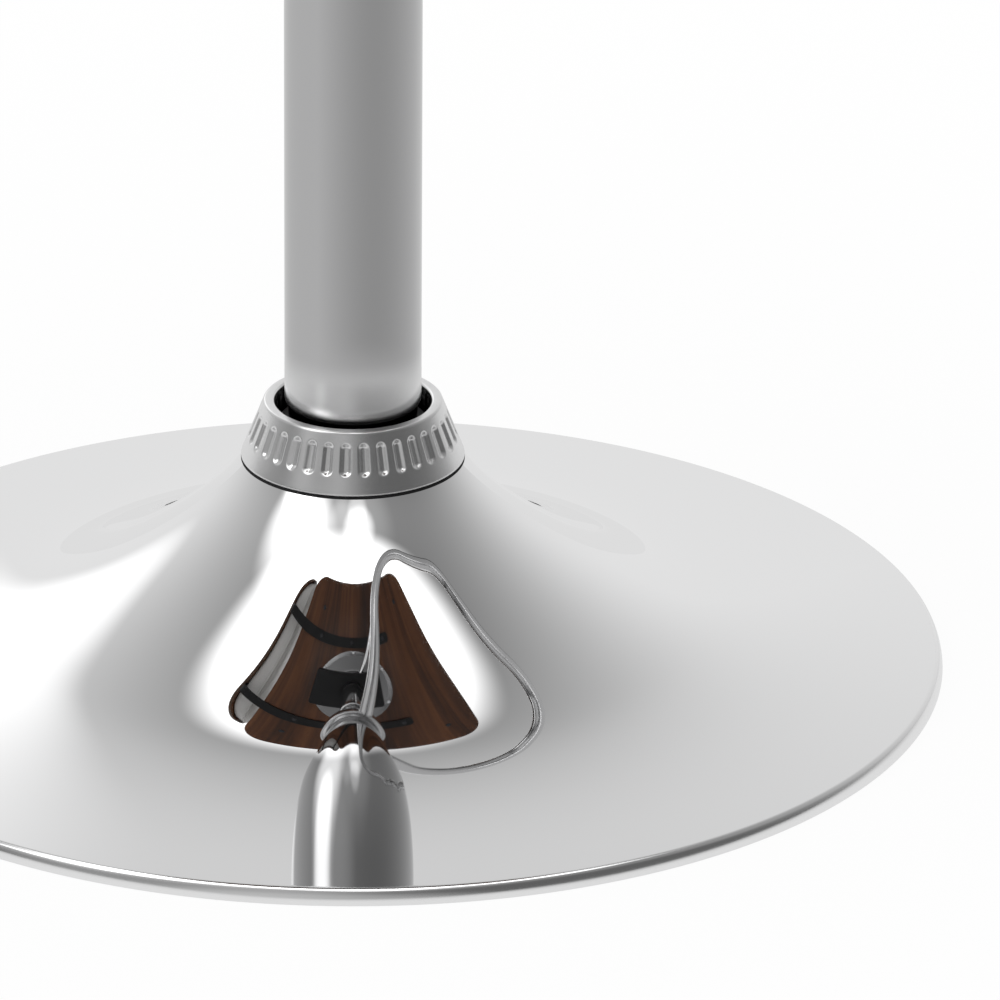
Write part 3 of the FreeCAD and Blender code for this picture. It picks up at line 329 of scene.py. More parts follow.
def powderCoat():
    # black paint with a fine orange-peel skin
    finish = Finish("powderCoat", colour=(0.008, 0.008, 0.0085), specular=0.18)
    peel = finish.noise(700.0, 2.0, 0.5)
    finish.feed("rough", finish.noise(45.0, 3.0, 0.6).ramp(0.3, 0.7, (0.34, 0.46)))
    finish.feed("normal", finish.bump(peel, 0.00006, 0.45))
    return finish.material


def cylinderPaint():
    # smooth black lacquer on the gas cylinder
    finish = Finish("cylinderPaint", colour=(0.018, 0.018, 0.019))
    finish.feed("rough", finish.noise(50.0, 4.0, 0.6).ramp(0.3, 0.7, (0.16, 0.24)))
    finish.feed("coat", finish.noise(9.0).ramp(0.3, 0.7, (0.3, 0.5)))
    return finish.material


def plasticBlack():
    # moulded plastic with a spark-eroded grain
    finish = Finish("plasticBlack", colour=(0.02, 0.02, 0.021))
    spark = finish.node("ShaderNodeTexVoronoi", None, {"Vector": finish.place, "Scale": 1500.0})
    finish.feed("rough", finish.noise(30.0).ramp(0.3, 0.7, (0.42, 0.55)))
    finish.feed("normal", finish.bump(spark, 0.00003, 0.4))
    return finish.material


def rubberBlack():
    # dull rubber with a dusty surface
    finish = Finish("rubberBlack", colour=(0.013, 0.013, 0.0135), specular=0.3)
    dust = finish.noise(220.0, 4.0, 0.6)
    finish.feed("rough", dust.ramp(0.3, 0.7, (0.68, 0.86)))
    finish.feed("normal", finish.bump(dust, 0.00008, 0.4))
    return finish.material


def screwSteel(name, colour, rough):
    # turned or plated steel, uneven in tone and gloss
    finish = Finish(name, metal=1.0)
    turned = finish.noise(400.0, 3.0, 0.6)
    finish.feed("colour", finish.mixed(turned.ramp(0.3, 0.7), shaded(colour, 0.8), colour))
    finish.feed("rough", turned.ramp(0.3, 0.7, (rough - 0.06, rough + 0.08)))
    finish.feed("normal", finish.bump(turned, 0.00003, 0.3))
    return finish.material


def plateSteel():
    # dark primed steel inside the base
    finish = Finish("plateSteel")
    speck = finish.noise(120.0, 5.0, 0.65)
    finish.feed("colour", finish.mixed(speck.ramp(0.45, 0.7), (0.05, 0.05, 0.052), (0.085, 0.08, 0.076)))
    finish.feed("rough", speck.ramp(0.3, 0.7, (0.5, 0.65)))
    finish.feed("normal", finish.bump(speck, 0.0001, 0.3))
    return finish.material


def walnutVeneer():
    # long flames from a stretched, bent noise; growth lines; short dark pores; edges show the glued layers
    finish = Finish("walnutVeneer", specular=0.25)
    drift = finish.noise(1.4, 3.0, 0.55, finish.stretched((7.0, 0.9, 7.0)), 0.6)
    growth = finish.noise(1.0, 4.0, 0.6, finish.stretched((60.0, 1.6, 60.0)), 0.9)
    pore = finish.noise(1.0, 2.0, 0.5, finish.stretched((1500.0, 60.0, 1500.0))).ramp(0.62, 0.72)
    flame = (drift * 0.62 + growth * 0.38).ramp(0.34, 0.66, kind="LINEAR")
    wood = finish.node("ShaderNodeValToRGB", {"stops": [
        (0.0, (0.024, 0.0080, 0.0032)), (0.30, (0.058, 0.0205, 0.0076)), (0.55, (0.104, 0.037, 0.0130)),
        (0.78, (0.146, 0.055, 0.020)), (1.0, (0.190, 0.077, 0.030))]}, {"Fac": flame})
    wood = finish.mixed(pore * 0.6, wood, (0.022, 0.010, 0.006))
    layer = finish.node("ShaderNodeAttribute", {"attribute_name": "layer"}, output="Fac")
    edge = finish.node("ShaderNodeAttribute", {"attribute_name": "edge"}, output="Fac")
    ply = (layer * 7.0).math("PINGPONG", 1.0).ramp(0.25, 0.75)
    edgeGrain = finish.noise(1.0, 3.0, 0.6, finish.stretched((240.0, 40.0, 900.0)))
    plies = finish.mixed(ply, (0.050, 0.026, 0.015), (0.155, 0.090, 0.052))
    plies = finish.mixed(edgeGrain.ramp(0.35, 0.7) * 0.45, plies, (0.03, 0.015, 0.009))
    finish.feed("colour", finish.mixed(edge, wood, plies))
    finish.feed("rough", growth.ramp(0.3, 0.7, (0.30, 0.40)) + pore * 0.15)
    finish.feed("normal", finish.bump(growth * 0.4 - pore, 0.00006, 0.35))
    finish.feed("coat", drift.ramp(0.3, 0.7, (0.02, 0.08)))
    return finish.material


def birchPly():
    # pale boards under the pads, with a stretched grain
    finish = Finish("birchPly")
    grain = finish.noise(1.0, 4.0, 0.6, finish.stretched((9.0, 120.0, 300.0)))
    finish.feed("colour", finish.mixed(grain.ramp(0.3, 0.7), (0.42, 0.29, 0.17), (0.60, 0.45, 0.29)))
    finish.feed("rough", grain.ramp(0.3, 0.7, (0.55, 0.7)))
    finish.feed("normal", finish.bump(grain, 0.0001, 0.3))
    return finish.material


def paleLeather(name, colour):
    # pebbled coated leather: cells with soft walls, fine creases, darker in the grooves between the cells, a
    # little gloss on top
    finish = Finish(name, sheen=0.06, sheenRough=0.5)
    bend = finish.noise(260.0, 2.0, 0.5)
    drift = finish.node("ShaderNodeTexNoise", None, {"Vector": finish.place, "Scale": 180.0}, "Color")
    drift = finish.node("ShaderNodeVectorMath", {"operation": "SCALE"}, {0: drift, "Scale": 0.0022})
    pushed = finish.node("ShaderNodeVectorMath", {"operation": "ADD"}, {0: finish.place, 1: drift})
    cells = finish.node(
        "ShaderNodeTexVoronoi", {"feature": "DISTANCE_TO_EDGE"}, {"Vector": pushed, "Scale": 620.0})
    pebble = cells.ramp(0.0, 0.16)
    broad = finish.noise(6.0, 3.0, 0.55)
    crease = finish.noise(55.0, 5.0, 0.62, None, 0.8).ramp(0.42, 0.62)
    tone = finish.mixed(pebble, shaded(colour, 0.80), colour)
    tone = finish.mixed(broad.ramp(0.35, 0.7) * 0.35, tone, shaded(colour, 0.92))
    finish.feed("colour", tone)
    finish.feed("rough", (1 - pebble) * 0.12 + broad * 0.10 + 0.36)
    creased = finish.bump(crease, 0.00012, 0.35)
    finish.feed("normal", finish.bump(pebble + bend * 0.3, 0.00009, 0.55, creased))
    finish.feed("coat", broad.ramp(0.3, 0.7, (0.04, 0.12)))
    return finish.material


finishes = {
    "mirror": mirrorChrome(),
    "chrome": plainChrome("plainChrome", (0.84, 0.84, 0.845), 0.05, 0.10),
    "hoop": plainChrome("hoopChrome", (0.50, 0.50, 0.503), 0.12, 0.20),
    "dish": plainChrome("dishSatin", (0.17, 0.17, 0.172), 0.14, 0.22),
    # the column's foot: painted shade below the first height, and a lighter band of painted light fading out
    # between the other two
    "column": drawnChrome("columnChrome", (0.52, 0.52, 0.522), 0.05, (0.1063, 0.114, 0.131)),
    "sleeve": drawnChrome("sleeveChrome", (0.78, 0.78, 0.783), 0.12),
    "collar": castChrome(),
    "coat": powderCoat(),
    "cylinder": cylinderPaint(),
    "plastic": plasticBlack(),
    "rubber": rubberBlack(),
    "zinc": screwSteel("zincSteel", (0.58, 0.585, 0.60), 0.30),
    "darkScrew": screwSteel("darkScrew", (0.045, 0.045, 0.048), 0.38),
    "bearing": screwSteel("bearingSteel", (0.66, 0.665, 0.68), 0.16),
    "plate": plateSteel(),
    "walnut": walnutVeneer(),
    "ply": birchPly(),
    "leather": paleLeather("padLeather", (0.77, 0.76, 0.74)),
    "piping": paleLeather("pipingLeather", (0.70, 0.69, 0.67)),
}
print("finishes made:", len(finishes))


def dress(piece, finish, body, slot, *nodes):
    # the finish, the body that the piece moves with, its material slot (not used), and the CAD nodes that it
    # stands for
    piece.data.materials.clear()
    piece.data.materials.append(finishes[finish])
    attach(piece, body)
    if nodes:
        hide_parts(*nodes)


# Base

base = {
    "neckRadius": 42.0, "neckHeight": 83.0, "rimRadius": 219.65, "rimTop": 6.6, "sheet": 1.2,
    "lipRadius": 34.0, "neckSlope": 57.6, "rimSlope": 4.9, "steps": 320, "profileSteps": 190, "innerEvery": 4,
    "outerRadius": 222.9, "shoulderRound": 2.0, "shoulderSlope": 64.0, "hem": 0.15, "rimJoin": 0.2,
    # shares of the way out from neck to rim, and of the height from rim to neck
    "trumpet": [(0.0, 1.0), (0.045, 0.860), (0.113, 0.703), (0.203, 0.537), (0.315, 0.368),
                (0.417, 0.247), (0.507, 0.165), (0.608, 0.107), (0.766, 0.052), (1.0, 0.0)],
}


def clampedSpline(knots, startTangent, endTangent, steps):
    # cubic pieces through the knots by chord length, with equal slope and bend where they meet
    knots = np.asarray(knots, float)
    span = np.linalg.norm(np.diff(knots, axis=0), axis=1)
    count = len(knots)
    matrix, right = np.zeros((count, count)), np.zeros((count, 2))
    matrix[0, 0] = matrix[-1, -1] = 1
    right[0], right[-1] = startTangent, endTangent
    k = np.arange(1, count - 1)
    matrix[k, k - 1], matrix[k, k + 1] = 1 / span[:-1], 1 / span[1:]
    matrix[k, k] = 2 * (1 / span[:-1] + 1 / span[1:])
    rise = np.diff(knots, axis=0) / (span ** 2)[:, None]
    right[1:-1] = 3 * (rise[:-1] + rise[1:])
    slope = np.linalg.solve(matrix, right)
    along = np.r_[0, np.cumsum(span)]
    u = np.linspace(0, along[-1], steps)
    i = np.clip(np.searchsorted(along, u, "right") - 1, 0, count - 2)
    h, t = span[i][:, None], ((u - along[i]) / span[i])[:, None]
    return (
        knots[i] * (2 * t ** 3 - 3 * t ** 2 + 1) + knots[i + 1] * (3 * t ** 2 - 2 * t ** 3)
        + h * slope[i] * (t ** 3 - 2 * t ** 2 + t) + h * slope[i + 1] * (t ** 3 - t ** 2))


def rimOf(b, outer):
    # two arcs that share a tangent, a tight shoulder and a wider wall, down to a half-round hem at the floor
    slope, bend, half = math.radians(b["rimSlope"]), math.radians(b["shoulderSlope"]), b["sheet"] / 2
    tight = b["shoulderRound"]
    shoulderDrop = tight * (math.cos(slope) - math.cos(bend))
    shoulderRun = tight * (math.sin(bend) - math.sin(slope))
    foot = b["hem"] + half
    wide = (b["rimTop"] - foot - shoulderDrop) / math.cos(bend)
    for _ in range(4):   # the wall's radius and the arcs' start follow from each other
        start = b["outerRadius"] - wide * (1 - math.sin(bend)) - shoulderRun
        top = b["rimTop"] + (b["rimRadius"] - start) * math.tan(slope)
        wide = (top - foot - shoulderDrop) / math.cos(bend)
    wideMiddle = np.array([b["outerRadius"] - wide, foot])
    tightMiddle = wideMiddle + (wide - tight) * np.array([math.sin(bend), math.cos(bend)])

    def arc(middle, radius, first, last, count):
        lean = np.linspace(first, last, count)
        return middle + radius * np.stack([np.sin(lean), np.cos(lean)], -1)

    quarter = math.pi / 2
    hemMiddle = np.array([b["outerRadius"] - half, foot])
    outside = [arc(tightMiddle, tight, slope, bend, 12)[:-1], arc(wideMiddle, wide, bend, quarter, 26)[:-1],
               arc(hemMiddle, half, quarter, 3 * quarter, 9)]
    inside = [arc(wideMiddle, wide - b["sheet"], quarter, bend, 12)[1:],
              arc(tightMiddle, tight - b["sheet"], bend, slope, 6)]
    return outer[outer[:, 0] < start - b["rimJoin"]], np.concatenate(outside), np.concatenate(inside)


def makeBase(b):
    # a spun sheet: the spline from neck to rim, the rolled rim, the way back one sheet lower, and the lip
    run, rise = b["rimRadius"] - b["neckRadius"], b["neckHeight"] - b["rimTop"]
    knots = [(b["neckRadius"] + run * out, b["rimTop"] + rise * up) for out, up in b["trumpet"]]
    neck, rim = math.radians(b["neckSlope"]), math.radians(b["rimSlope"])
    startTangent, endTangent = (math.cos(neck), -math.sin(neck)), (math.cos(rim), -math.sin(rim))
    outer = clampedSpline(knots, startTangent, endTangent, b["profileSteps"])
    ahead = np.gradient(outer, axis=0)
    ahead /= np.linalg.norm(ahead, axis=1)[:, None]
    inner = (outer + np.stack([ahead[:, 1], -ahead[:, 0]], -1) * b["sheet"])[::b["innerEvery"]]
    inner[0, 1] = b["neckHeight"] - b["sheet"]
    outer, roll, back = rimOf(b, outer)
    lip = [(b["lipRadius"], b["neckHeight"] - b["sheet"]), (b["lipRadius"], b["neckHeight"]),
           (b["neckRadius"] - b["sheet"], b["neckHeight"])]
    inner = inner[inner[:, 0] < outer[-1, 0] - b["sheet"]]
    profile = np.concatenate([outer, roll, back, inner[::-1], lip])
    piece = lathe("baseTrumpet", profile, b["steps"], sharpAngle=40.0)
    dress(piece, "mirror", "stand", "chrome", "base_shell")


makeBase(base)
print("base made")

# Collar ring with its slots

collar = {
    "footRadius": 42.3, "crestRadius": 33.4, "innerRadius": 29.4, "bottom": 83.9, "height": 22.6,
    "wall": 2.6, "crestRound": 1.0, "footRound": 0.7, "footLedge": 1.0, "lipDrop": 0.4,
    "fluteDepth": 0.7, "fluteBottom": 94.0, "fluteSide": 1.2, "fluteFade": 2.0, "fluteSteps": 12,
    "slots": 34, "slotWidth": 4.9, "slotLength": 13.2, "slotDepth": 0.95, "slotSide": 2.0, "slotMiddle": 0.57,
    "slotSteps": 26, "rows": 76,
}
# painted shade: a black rubber ring under the collar's foot that draws the shade line there
shadeGasket = {"outer": 42.0, "inner": 35.6, "bottom": 83.0, "top": 83.9}


def smoothShare(value):
    value = np.clip(value, 0, 1)
    return value * value * (3 - 2 * value)


def slottedWall(c, turn, off):
    # a cone pressed in where a point lies within half a slot's width of the slot's line:
    # depth = slotDepth * smooth((half width - distance) / side width); gives its points and the foot's radius
    run, rise = c["crestRadius"] - c["footRadius"], c["height"]
    slant = math.hypot(run, rise)
    footRun = c["footRound"] * (1 - run / slant) / (rise / slant)   # from the foot's sharp corner to its arc
    share = np.linspace(footRun / slant, 1 - c["crestRound"] / slant, c["rows"])[:, None]
    across = off * (c["footRadius"] + run * c["slotMiddle"])
    along = (share - c["slotMiddle"]) * slant
    beyond = np.maximum(np.abs(along) - (c["slotLength"] - c["slotWidth"]) / 2, 0)
    distance = np.sqrt(across ** 2 + beyond ** 2)
    depth = c["slotDepth"] * smoothShare((c["slotWidth"] / 2 - distance) / c["slotSide"])
    radius = c["footRadius"] + run * share - depth * rise / slant
    height = c["bottom"] + rise * share + depth * run / slant
    return turnedGrid(radius, height, turn), c["footRadius"] - footRun


def collarInside(c, foot):
    # profile from the wall's top over the crest, down the bore, across the hollow and round the foot
    rounding, top = c["crestRound"], c["bottom"] + c["height"]
    outwards = math.atan2(c["footRadius"] - c["crestRadius"], c["height"])
    swing = outwards + (math.pi / 2 - outwards) * np.linspace(0, 1, 8)[1:]
    crestR = c["crestRadius"] - rounding * math.tan((math.pi / 2 - outwards) / 2)
    crest = np.stack([crestR + rounding * np.cos(swing), top - rounding + rounding * np.sin(swing)], -1)
    inSwing = np.linspace(math.pi / 2, math.pi, 7)
    lip = [c["innerRadius"] + rounding * (1 + np.cos(inSwing)), top - rounding * (1 - np.sin(inSwing))]
    fluteTop = top - rounding - c["lipDrop"]
    flutes = [(c["innerRadius"], z) for z in np.linspace(fluteTop, c["fluteBottom"], c["fluteSteps"])]
    ledge = (foot - c["wall"] - c["footLedge"], c["bottom"] + c["lipDrop"])
    hollow = [(c["innerRadius"], c["bottom"] + c["wall"]), ledge, (foot - c["wall"], c["bottom"])]
    footSwing = np.linspace(-math.pi / 2, outwards, 7)[:-1]
    footArc = np.stack([np.cos(footSwing), 1 + np.sin(footSwing)], -1) * c["footRound"] + (foot, c["bottom"])
    return np.concatenate([crest, np.stack(lip, -1), flutes, hollow, footArc])


def flutedBore(c, profile, turn, off):
    # the profile turned, with a shallow flute in the bore behind each slot
    radius, height = profile[:, :1], profile[:, 1:]
    crestFoot, reach = c["bottom"] + c["height"] - c["crestRound"], 0.1
    onBore = np.abs(radius - c["innerRadius"]) < 1e-6
    onBore &= (height < crestFoot - reach) & (height > c["fluteBottom"] - reach)
    fade = smoothShare((crestFoot - height) / c["fluteFade"]) * onBore
    flute = smoothShare((c["slotWidth"] / 2 - np.abs(off) * c["innerRadius"]) / c["fluteSide"])
    return turnedGrid(radius - fade * c["fluteDepth"] * flute, height, turn)


def makeCollar(c):
    pitch = 2 * math.pi / c["slots"]
    turn = np.linspace(0, 2 * math.pi, c["slots"] * c["slotSteps"], endpoint=False)[None, :]
    off = (turn + pitch / 2) % pitch - pitch / 2   # angle from the nearest slot's line
    wall, foot = slottedWall(c, turn, off)
    points = np.concatenate([wall, flutedBore(c, collarInside(c, foot), turn, off)])
    faces = gridFaces(*points.shape[:2], closeRows=True)
    piece = addMesh("slottedCollar", points.reshape(-1, 3), faces, sharpAngle=60.0)
    dress(piece, "collar", "stand", "chrome", "collar_ring")


# a black rubber seal under the collar; it also stands in for the shade line below the collar's foot, so it is
# partly painted shade
def makeShadeGasket(g):
    profile = roundedProfile([
        (g["inner"], g["bottom"], 0.2), (g["outer"], g["bottom"], 0.3), (g["outer"], g["top"], 0.3),
        (g["inner"], g["top"], 0.2)], steps=3)
    dress(lathe("collarShadeGasket", profile, 160), "rubber", "stand", "ring_rubber", "collar_gasket")


makeCollar(collar)
makeShadeGasket(shadeGasket)
print("collar made")

# Column, footrest and lift

column = {"radius": 25.65, "bore": 23.65, "top": 350.0, "shoulder": 107.5, "round": 1.3,
          "shoulderRoundShare": 0.98, "mouthRoundShare": 0.8, "boreFoot": 2.0,
          "footTop": 24.3, "foot": 22.4, "bottom": 14.0, "floor": 18.0, "core": 20.2, "rodHole": 5.06}
bush = {"bore": 14.06, "outer": 23.63, "bottom": 296.0, "flange": 25.2, "top": 354.0}
footrest = {"collar": 31.0, "bore": 25.67, "height": 16.0, "edge": 1.5, "level": 342.0,
            "tube": 8.0, "tubeStart": 28.5, "bend": 60.0, "spacing": 4.0,
            "corners": [(9.5, 13.7), (68.0, 200.0), (213.0, 68.6)]}
lift = {"cylinder": 14.0, "bottom": 129.0, "top": 646.0, "nose": 13.1, "chamber": 12.0, "head": 12.0,
        "pinHole": 3.06, "pinHoleDepth": 6.0,
        "sleeve": 17.75, "sleeveBottom": 432.0, "sleeveBore": 14.02,
        "hub": 22.0, "hubBottom": 618.0, "hubTop": 648.0, "hubBore": 13.12}
dish = {"flat": 48.0, "bottom": 666.0, "top": 680.0, "rim": 89.0, "rimWidth": 9.0, "sheet": 2.0,
        "flatRound": 14.0, "upperRound": 6.0, "rimRound": 0.9}


def makeColumn(c):
    # a tube with a rounded shoulder, a tapered foot below it and a thick floor with the rod's hole
    shoulderFoot = c["shoulder"] - c["round"]
    profile = roundedProfile([
        (c["rodHole"], c["bottom"], 0), (c["foot"], c["bottom"], 0), (c["footTop"], shoulderFoot, 0),
        (c["radius"], shoulderFoot, c["round"] * c["shoulderRoundShare"]),
        (c["radius"], c["top"], c["round"] * c["mouthRoundShare"]), (c["bore"], c["top"], 0.3),
        (c["bore"], c["shoulder"], 0), (c["core"], c["shoulder"] - c["boreFoot"], 0),
        (c["core"], c["floor"], 0), (c["rodHole"], c["floor"], 0)])
    dress(lathe("columnTube", profile, 192), "column", "stand", "chrome", "column_tube")


def makeBush(b, mouth):
    # a sleeve in the column, with a flange on the column's mouth
    profile = roundedProfile([
        (b["bore"], b["bottom"], 0.4), (b["outer"], b["bottom"], 0.4), (b["outer"], mouth, 0),
        (b["flange"], mouth, 0.3), (b["flange"], b["top"], 1.2), (b["bore"], b["top"], 0.8)])
    dress(lathe("guideBush", profile, 144), "plastic", "stand", "black_plastic", "guide_bush")


def makeFootrest(f):
    low, high = f["level"] - f["height"] / 2, f["level"] + f["height"] / 2
    profile = roundedProfile([
        (f["bore"], low, 0.3), (f["collar"], low, f["edge"]), (f["collar"], high, f["edge"]),
        (f["bore"], high, 0.3)])
    dress(lathe("footrestCollar", profile, 144), "hoop", "stand", "chrome", "footrest_collar")
    right = [(x, -y, f["level"]) for x, y in f["corners"]]
    left = [(x, y, f["level"]) for x, y in reversed(f["corners"])]
    path = roundedPath(right + left, f["bend"])
    ahead = path[1] - path[0]
    start = path[0] + ahead * (f["tubeStart"] - np.hypot(*path[0, :2])) / np.hypot(*ahead[:2])
    path[0], path[-1] = start, start * (1, -1, 1)
    runs = []
    for here, there in zip(path[:-1], path[1:]):
        pieces = max(2, int(np.linalg.norm(there - here) / f["spacing"]))
        runs.append(np.linspace(here, there, pieces)[:-1])
    path = np.concatenate(runs + [path[-1:]])
    dress(tubeAlong("footrestHoop", path, f["tube"], 40), "hoop", "stand", "chrome", "footrest_hoop")


def makeLift(g):
    # the gas cylinder, open below, with the pin's hole on top; the stop sleeve and the hub sit on it
    cylinder = roundedProfile([
        (g["chamber"], g["bottom"], 0.4), (g["cylinder"], g["bottom"], 0.6),
        (g["cylinder"], g["hubBottom"], 0), (g["nose"], g["top"], 0.5), (g["pinHole"], g["top"], 0),
        (g["pinHole"], g["top"] - g["pinHoleDepth"], 0), (g["chamber"], g["top"] - g["head"], 0)])
    dress(lathe("gasCylinder", cylinder, 128), "cylinder", "seat", "cylinder_black", "gas_cylinder")
    sleeve = roundedProfile([
        (g["sleeveBore"], g["sleeveBottom"], 0.4), (g["sleeve"], g["sleeveBottom"], 1.3),
        (g["sleeve"], g["hubBottom"], 0.2), (g["sleeveBore"], g["hubBottom"], 0)])
    dress(lathe("stopSleeve", sleeve, 144), "sleeve", "seat", "chrome", "stop_sleeve")
    hub = roundedProfile([
        (g["sleeveBore"], g["hubBottom"], 0.3), (g["hub"], g["hubBottom"], 1.5), (g["hub"], g["hubTop"], 0.6),
        (g["hubBore"], g["hubTop"], 0.3)])
    dress(lathe("taperHub", hub, 144), "coat", "seat", "black_coat", "taper_hub")


def makeDish(d):
    # a pressed pan of one sheet: flat middle, sloping wall and flat rim
    wallHead = d["rim"] - d["rimWidth"]
    pan = roundedProfile([
        (0.0, d["bottom"], 0), (d["flat"], d["bottom"], d["flatRound"]),
        (wallHead, d["top"] - d["sheet"], 1.5), (d["rim"], d["top"] - d["sheet"], d["rimRound"]),
        (d["rim"], d["top"], d["rimRound"]),
        (wallHead, d["top"], 0.5), (d["flat"], d["bottom"] + d["sheet"], d["upperRound"]),
        (0.0, d["bottom"] + d["sheet"], 0)], steps=10)
    dress(lathe("mountDish", pan, 192, closed=False), "dish", "seat", "chrome", "mount_dish")


makeColumn(column)
makeBush(bush, column["top"])
makeFootrest(footrest)
makeLift(lift)
makeDish(dish)
print("column, footrest and lift made")

# Seat

seat = {
    "rear": -175.0, "front": 230.0, "half": 223.0, "corner": 52.0, "sweep": 1250.0,
    "outlineSteps": 360, "bowSteps": 90,
    "bottom": 680.0, "thick": 12.0, "round": 3.0, "edgeShare": 0.38,
    "padInset": 3.0, "padPull": 3.0, "padHeight": 60.0, "padCrown": 11.0, "crownX": 20.0, "padGap": 0.3,
    "shrink": 1.5, "swell": 5.0, "upperRound": 21.0, "lowerRound": 9.0,   # drawn smaller, then blown up
    "padSteps": (30, 7, 9, 12, 34),   # rings on the underside, lower edge, side, upper edge and top
    "seamHeight": 36.0, "piping": 2.3, "pipingSit": 1.1,
    # how far out the rim lies, and from which shares of that the cover is held and folded
    "rimReach": (190.0, 208.0), "holdShare": 0.9, "foldShare": 0.85, "floorHold": (1.5, 5.0),
    # folds: shift from the seam, period, depth and fade; groove: depth and width
    "folds": (3.0, 17.0, 0.35, 11.0), "groove": (1.3, 2.6), "foldRadius": 215.0,
}


def arcPoints(middle, radius, turn):
    return np.array(middle) + radius * np.stack([np.cos(turn), np.sin(turn)], -1)


def seatOutline(s):
    # the board's plan, anticlockwise: straight rear and sides, round corners and a bowed front, evenly spaced
    corner, side = s["corner"], s["half"]
    sweepX = s["front"] - s["sweep"]
    tipX = sweepX + math.sqrt((s["sweep"] - corner) ** 2 - (side - corner) ** 2)
    tipTurn = math.atan2(side - corner, tipX - sweepX)
    front = arcPoints((sweepX, 0), s["sweep"], np.linspace(-tipTurn, tipTurn, s["bowSteps"]))
    leftTip = arcPoints((tipX, side - corner), corner, np.linspace(tipTurn, math.pi / 2, 40)[1:])
    leftRear = arcPoints((s["rear"] + corner, side - corner), corner, np.linspace(math.pi / 2, math.pi, 50))
    left = np.concatenate([front, leftTip, leftRear])
    right = (left * (1, -1))[::-1]
    return evenly(np.concatenate([left, right[:-s["bowSteps"]]]), s["outlineSteps"])


def evenly(loop, steps):
    # the same closed line with its points at equal distances
    closed = np.concatenate([loop, loop[:1]])
    reach = np.r_[0, np.cumsum(np.linalg.norm(np.diff(closed, axis=0), axis=1))]
    want = np.linspace(0, reach[-1], steps, endpoint=False)
    return np.stack([np.interp(want, reach, closed[:, k]) for k in range(2)], -1)


def outwardOf(loop):
    # unit normals of an anticlockwise line
    ahead = np.roll(loop, -1, 0) - np.roll(loop, 1, 0)
    ahead /= np.linalg.norm(ahead, axis=1)[:, None]
    return np.stack([ahead[:, 1], -ahead[:, 0]], -1)


def plateRings(loop, thick, rounding, fill=26):
    # rings of (plan, height): out from the middle of one face, round the edge and back over the other face
    outward = outwardOf(loop)
    inner = loop - outward * rounding
    shares = np.linspace(0, 1, fill)
    turn = np.linspace(0, math.pi / 2, 6)
    rings = [(ring, 0.0) for ring in discRings(inner, shares)]
    rings += [(inner + outward * rounding * math.sin(a), rounding * (1 - math.cos(a))) for a in turn[1:]]
    rings += [(loop, rounding + (thick - 2 * rounding) * share) for share in (0.34, 0.67)]
    rings += [(inner + outward * rounding * math.cos(a), thick - rounding * (1 - math.sin(a))) for a in turn]
    rings += [(ring, thick) for ring in discRings(inner, shares[::-1])]
    return rings


def plateMesh(name, rings, placeAt):
    # every ring put in space by placeAt(plan, height)
    points = np.concatenate([placeAt(plan, height) for plan, height in rings])
    return addMesh(name, points, gridFaces(len(rings), len(rings[0][0])), sharpAngle=50.0)


def markEdges(piece, share, edgeShare):
    # two values for each point: how deep it lies in the thickness, and whether it is between the two faces
    edge = (np.abs(share - 0.5) < edgeShare) * 1.0
    for key, values in (("layer", share), ("edge", edge)):
        attribute = piece.data.attributes.new(key, "FLOAT", "POINT")
        attribute.data.foreach_set("value", np.asarray(values, np.float32))


def coordinates(piece):
    flat = np.empty(len(piece.data.vertices) * 3, np.float32)
    piece.data.vertices.foreach_get("co", flat)
    return flat.reshape(-1, 3).astype(float) * 1000


def moveTo(piece, points):
    piece.data.vertices.foreach_set("co", (points * 0.001).astype(np.float32).ravel())
    piece.data.update()


boardLine = seatOutline(seat)


def makeBoard(s):
    def place(plan, height):
        return np.c_[plan, np.full(len(plan), s["bottom"] + height)]

    piece = plateMesh("seatBoard", plateRings(boardLine, s["thick"], s["round"]), place)
    markEdges(piece, (coordinates(piece)[:, 2] - s["bottom"]) / s["thick"], s["edgeShare"])
    dress(piece, "walnut", "seat", "walnut", "seat_board")


def cushionRings(loop, low, high, lowRound, highRound, steps, place):
    # rings out from one face's middle, round its edge, up the side, round the other edge and in again;
    # low(p) and high(p) are the two faces' depths at plan points p
    lowFill, lowArc, side, highArc, highFill = steps
    outward = outwardOf(loop)
    inner = loop - outward * lowRound
    rings = [place(p, low(p)) for p in discRings(inner, np.linspace(0, 1, lowFill))]
    for a in np.linspace(0, math.pi / 2, lowArc)[1:]:
        p = inner + outward * lowRound * math.sin(a)
        rings.append(place(p, low(p) + lowRound * (1 - math.cos(a))))
    lowEdge, highEdge = low(loop) + lowRound, high(loop) - highRound
    rings += [place(loop, lowEdge + (highEdge - lowEdge) * share) for share in np.linspace(0, 1, side)[1:-1]]
    inner = loop - outward * highRound
    for a in np.linspace(0, math.pi / 2, highArc):
        p = inner + outward * highRound * math.cos(a)
        rings.append(place(p, high(p) - highRound * (1 - math.sin(a))))
    rings += [place(p, high(p)) for p in discRings(inner, np.linspace(1, 0, highFill)[1:])]
    return np.concatenate(rings), gridFaces(len(rings), len(loop))


def padPlan(s):
    # the board's outline drawn in, with its long sides pulled in a little more towards the middle
    plan = boardLine - outwardOf(boardLine) * (s["padInset"] + s["shrink"])
    middleX = (s["rear"] + s["front"]) / 2
    reach = np.clip(1 - ((plan[:, 0] - middleX) / (s["front"] - middleX)) ** 2, 0, 1)
    plan[:, 1] *= 1 - s["padPull"] / s["half"] * reach
    return plan


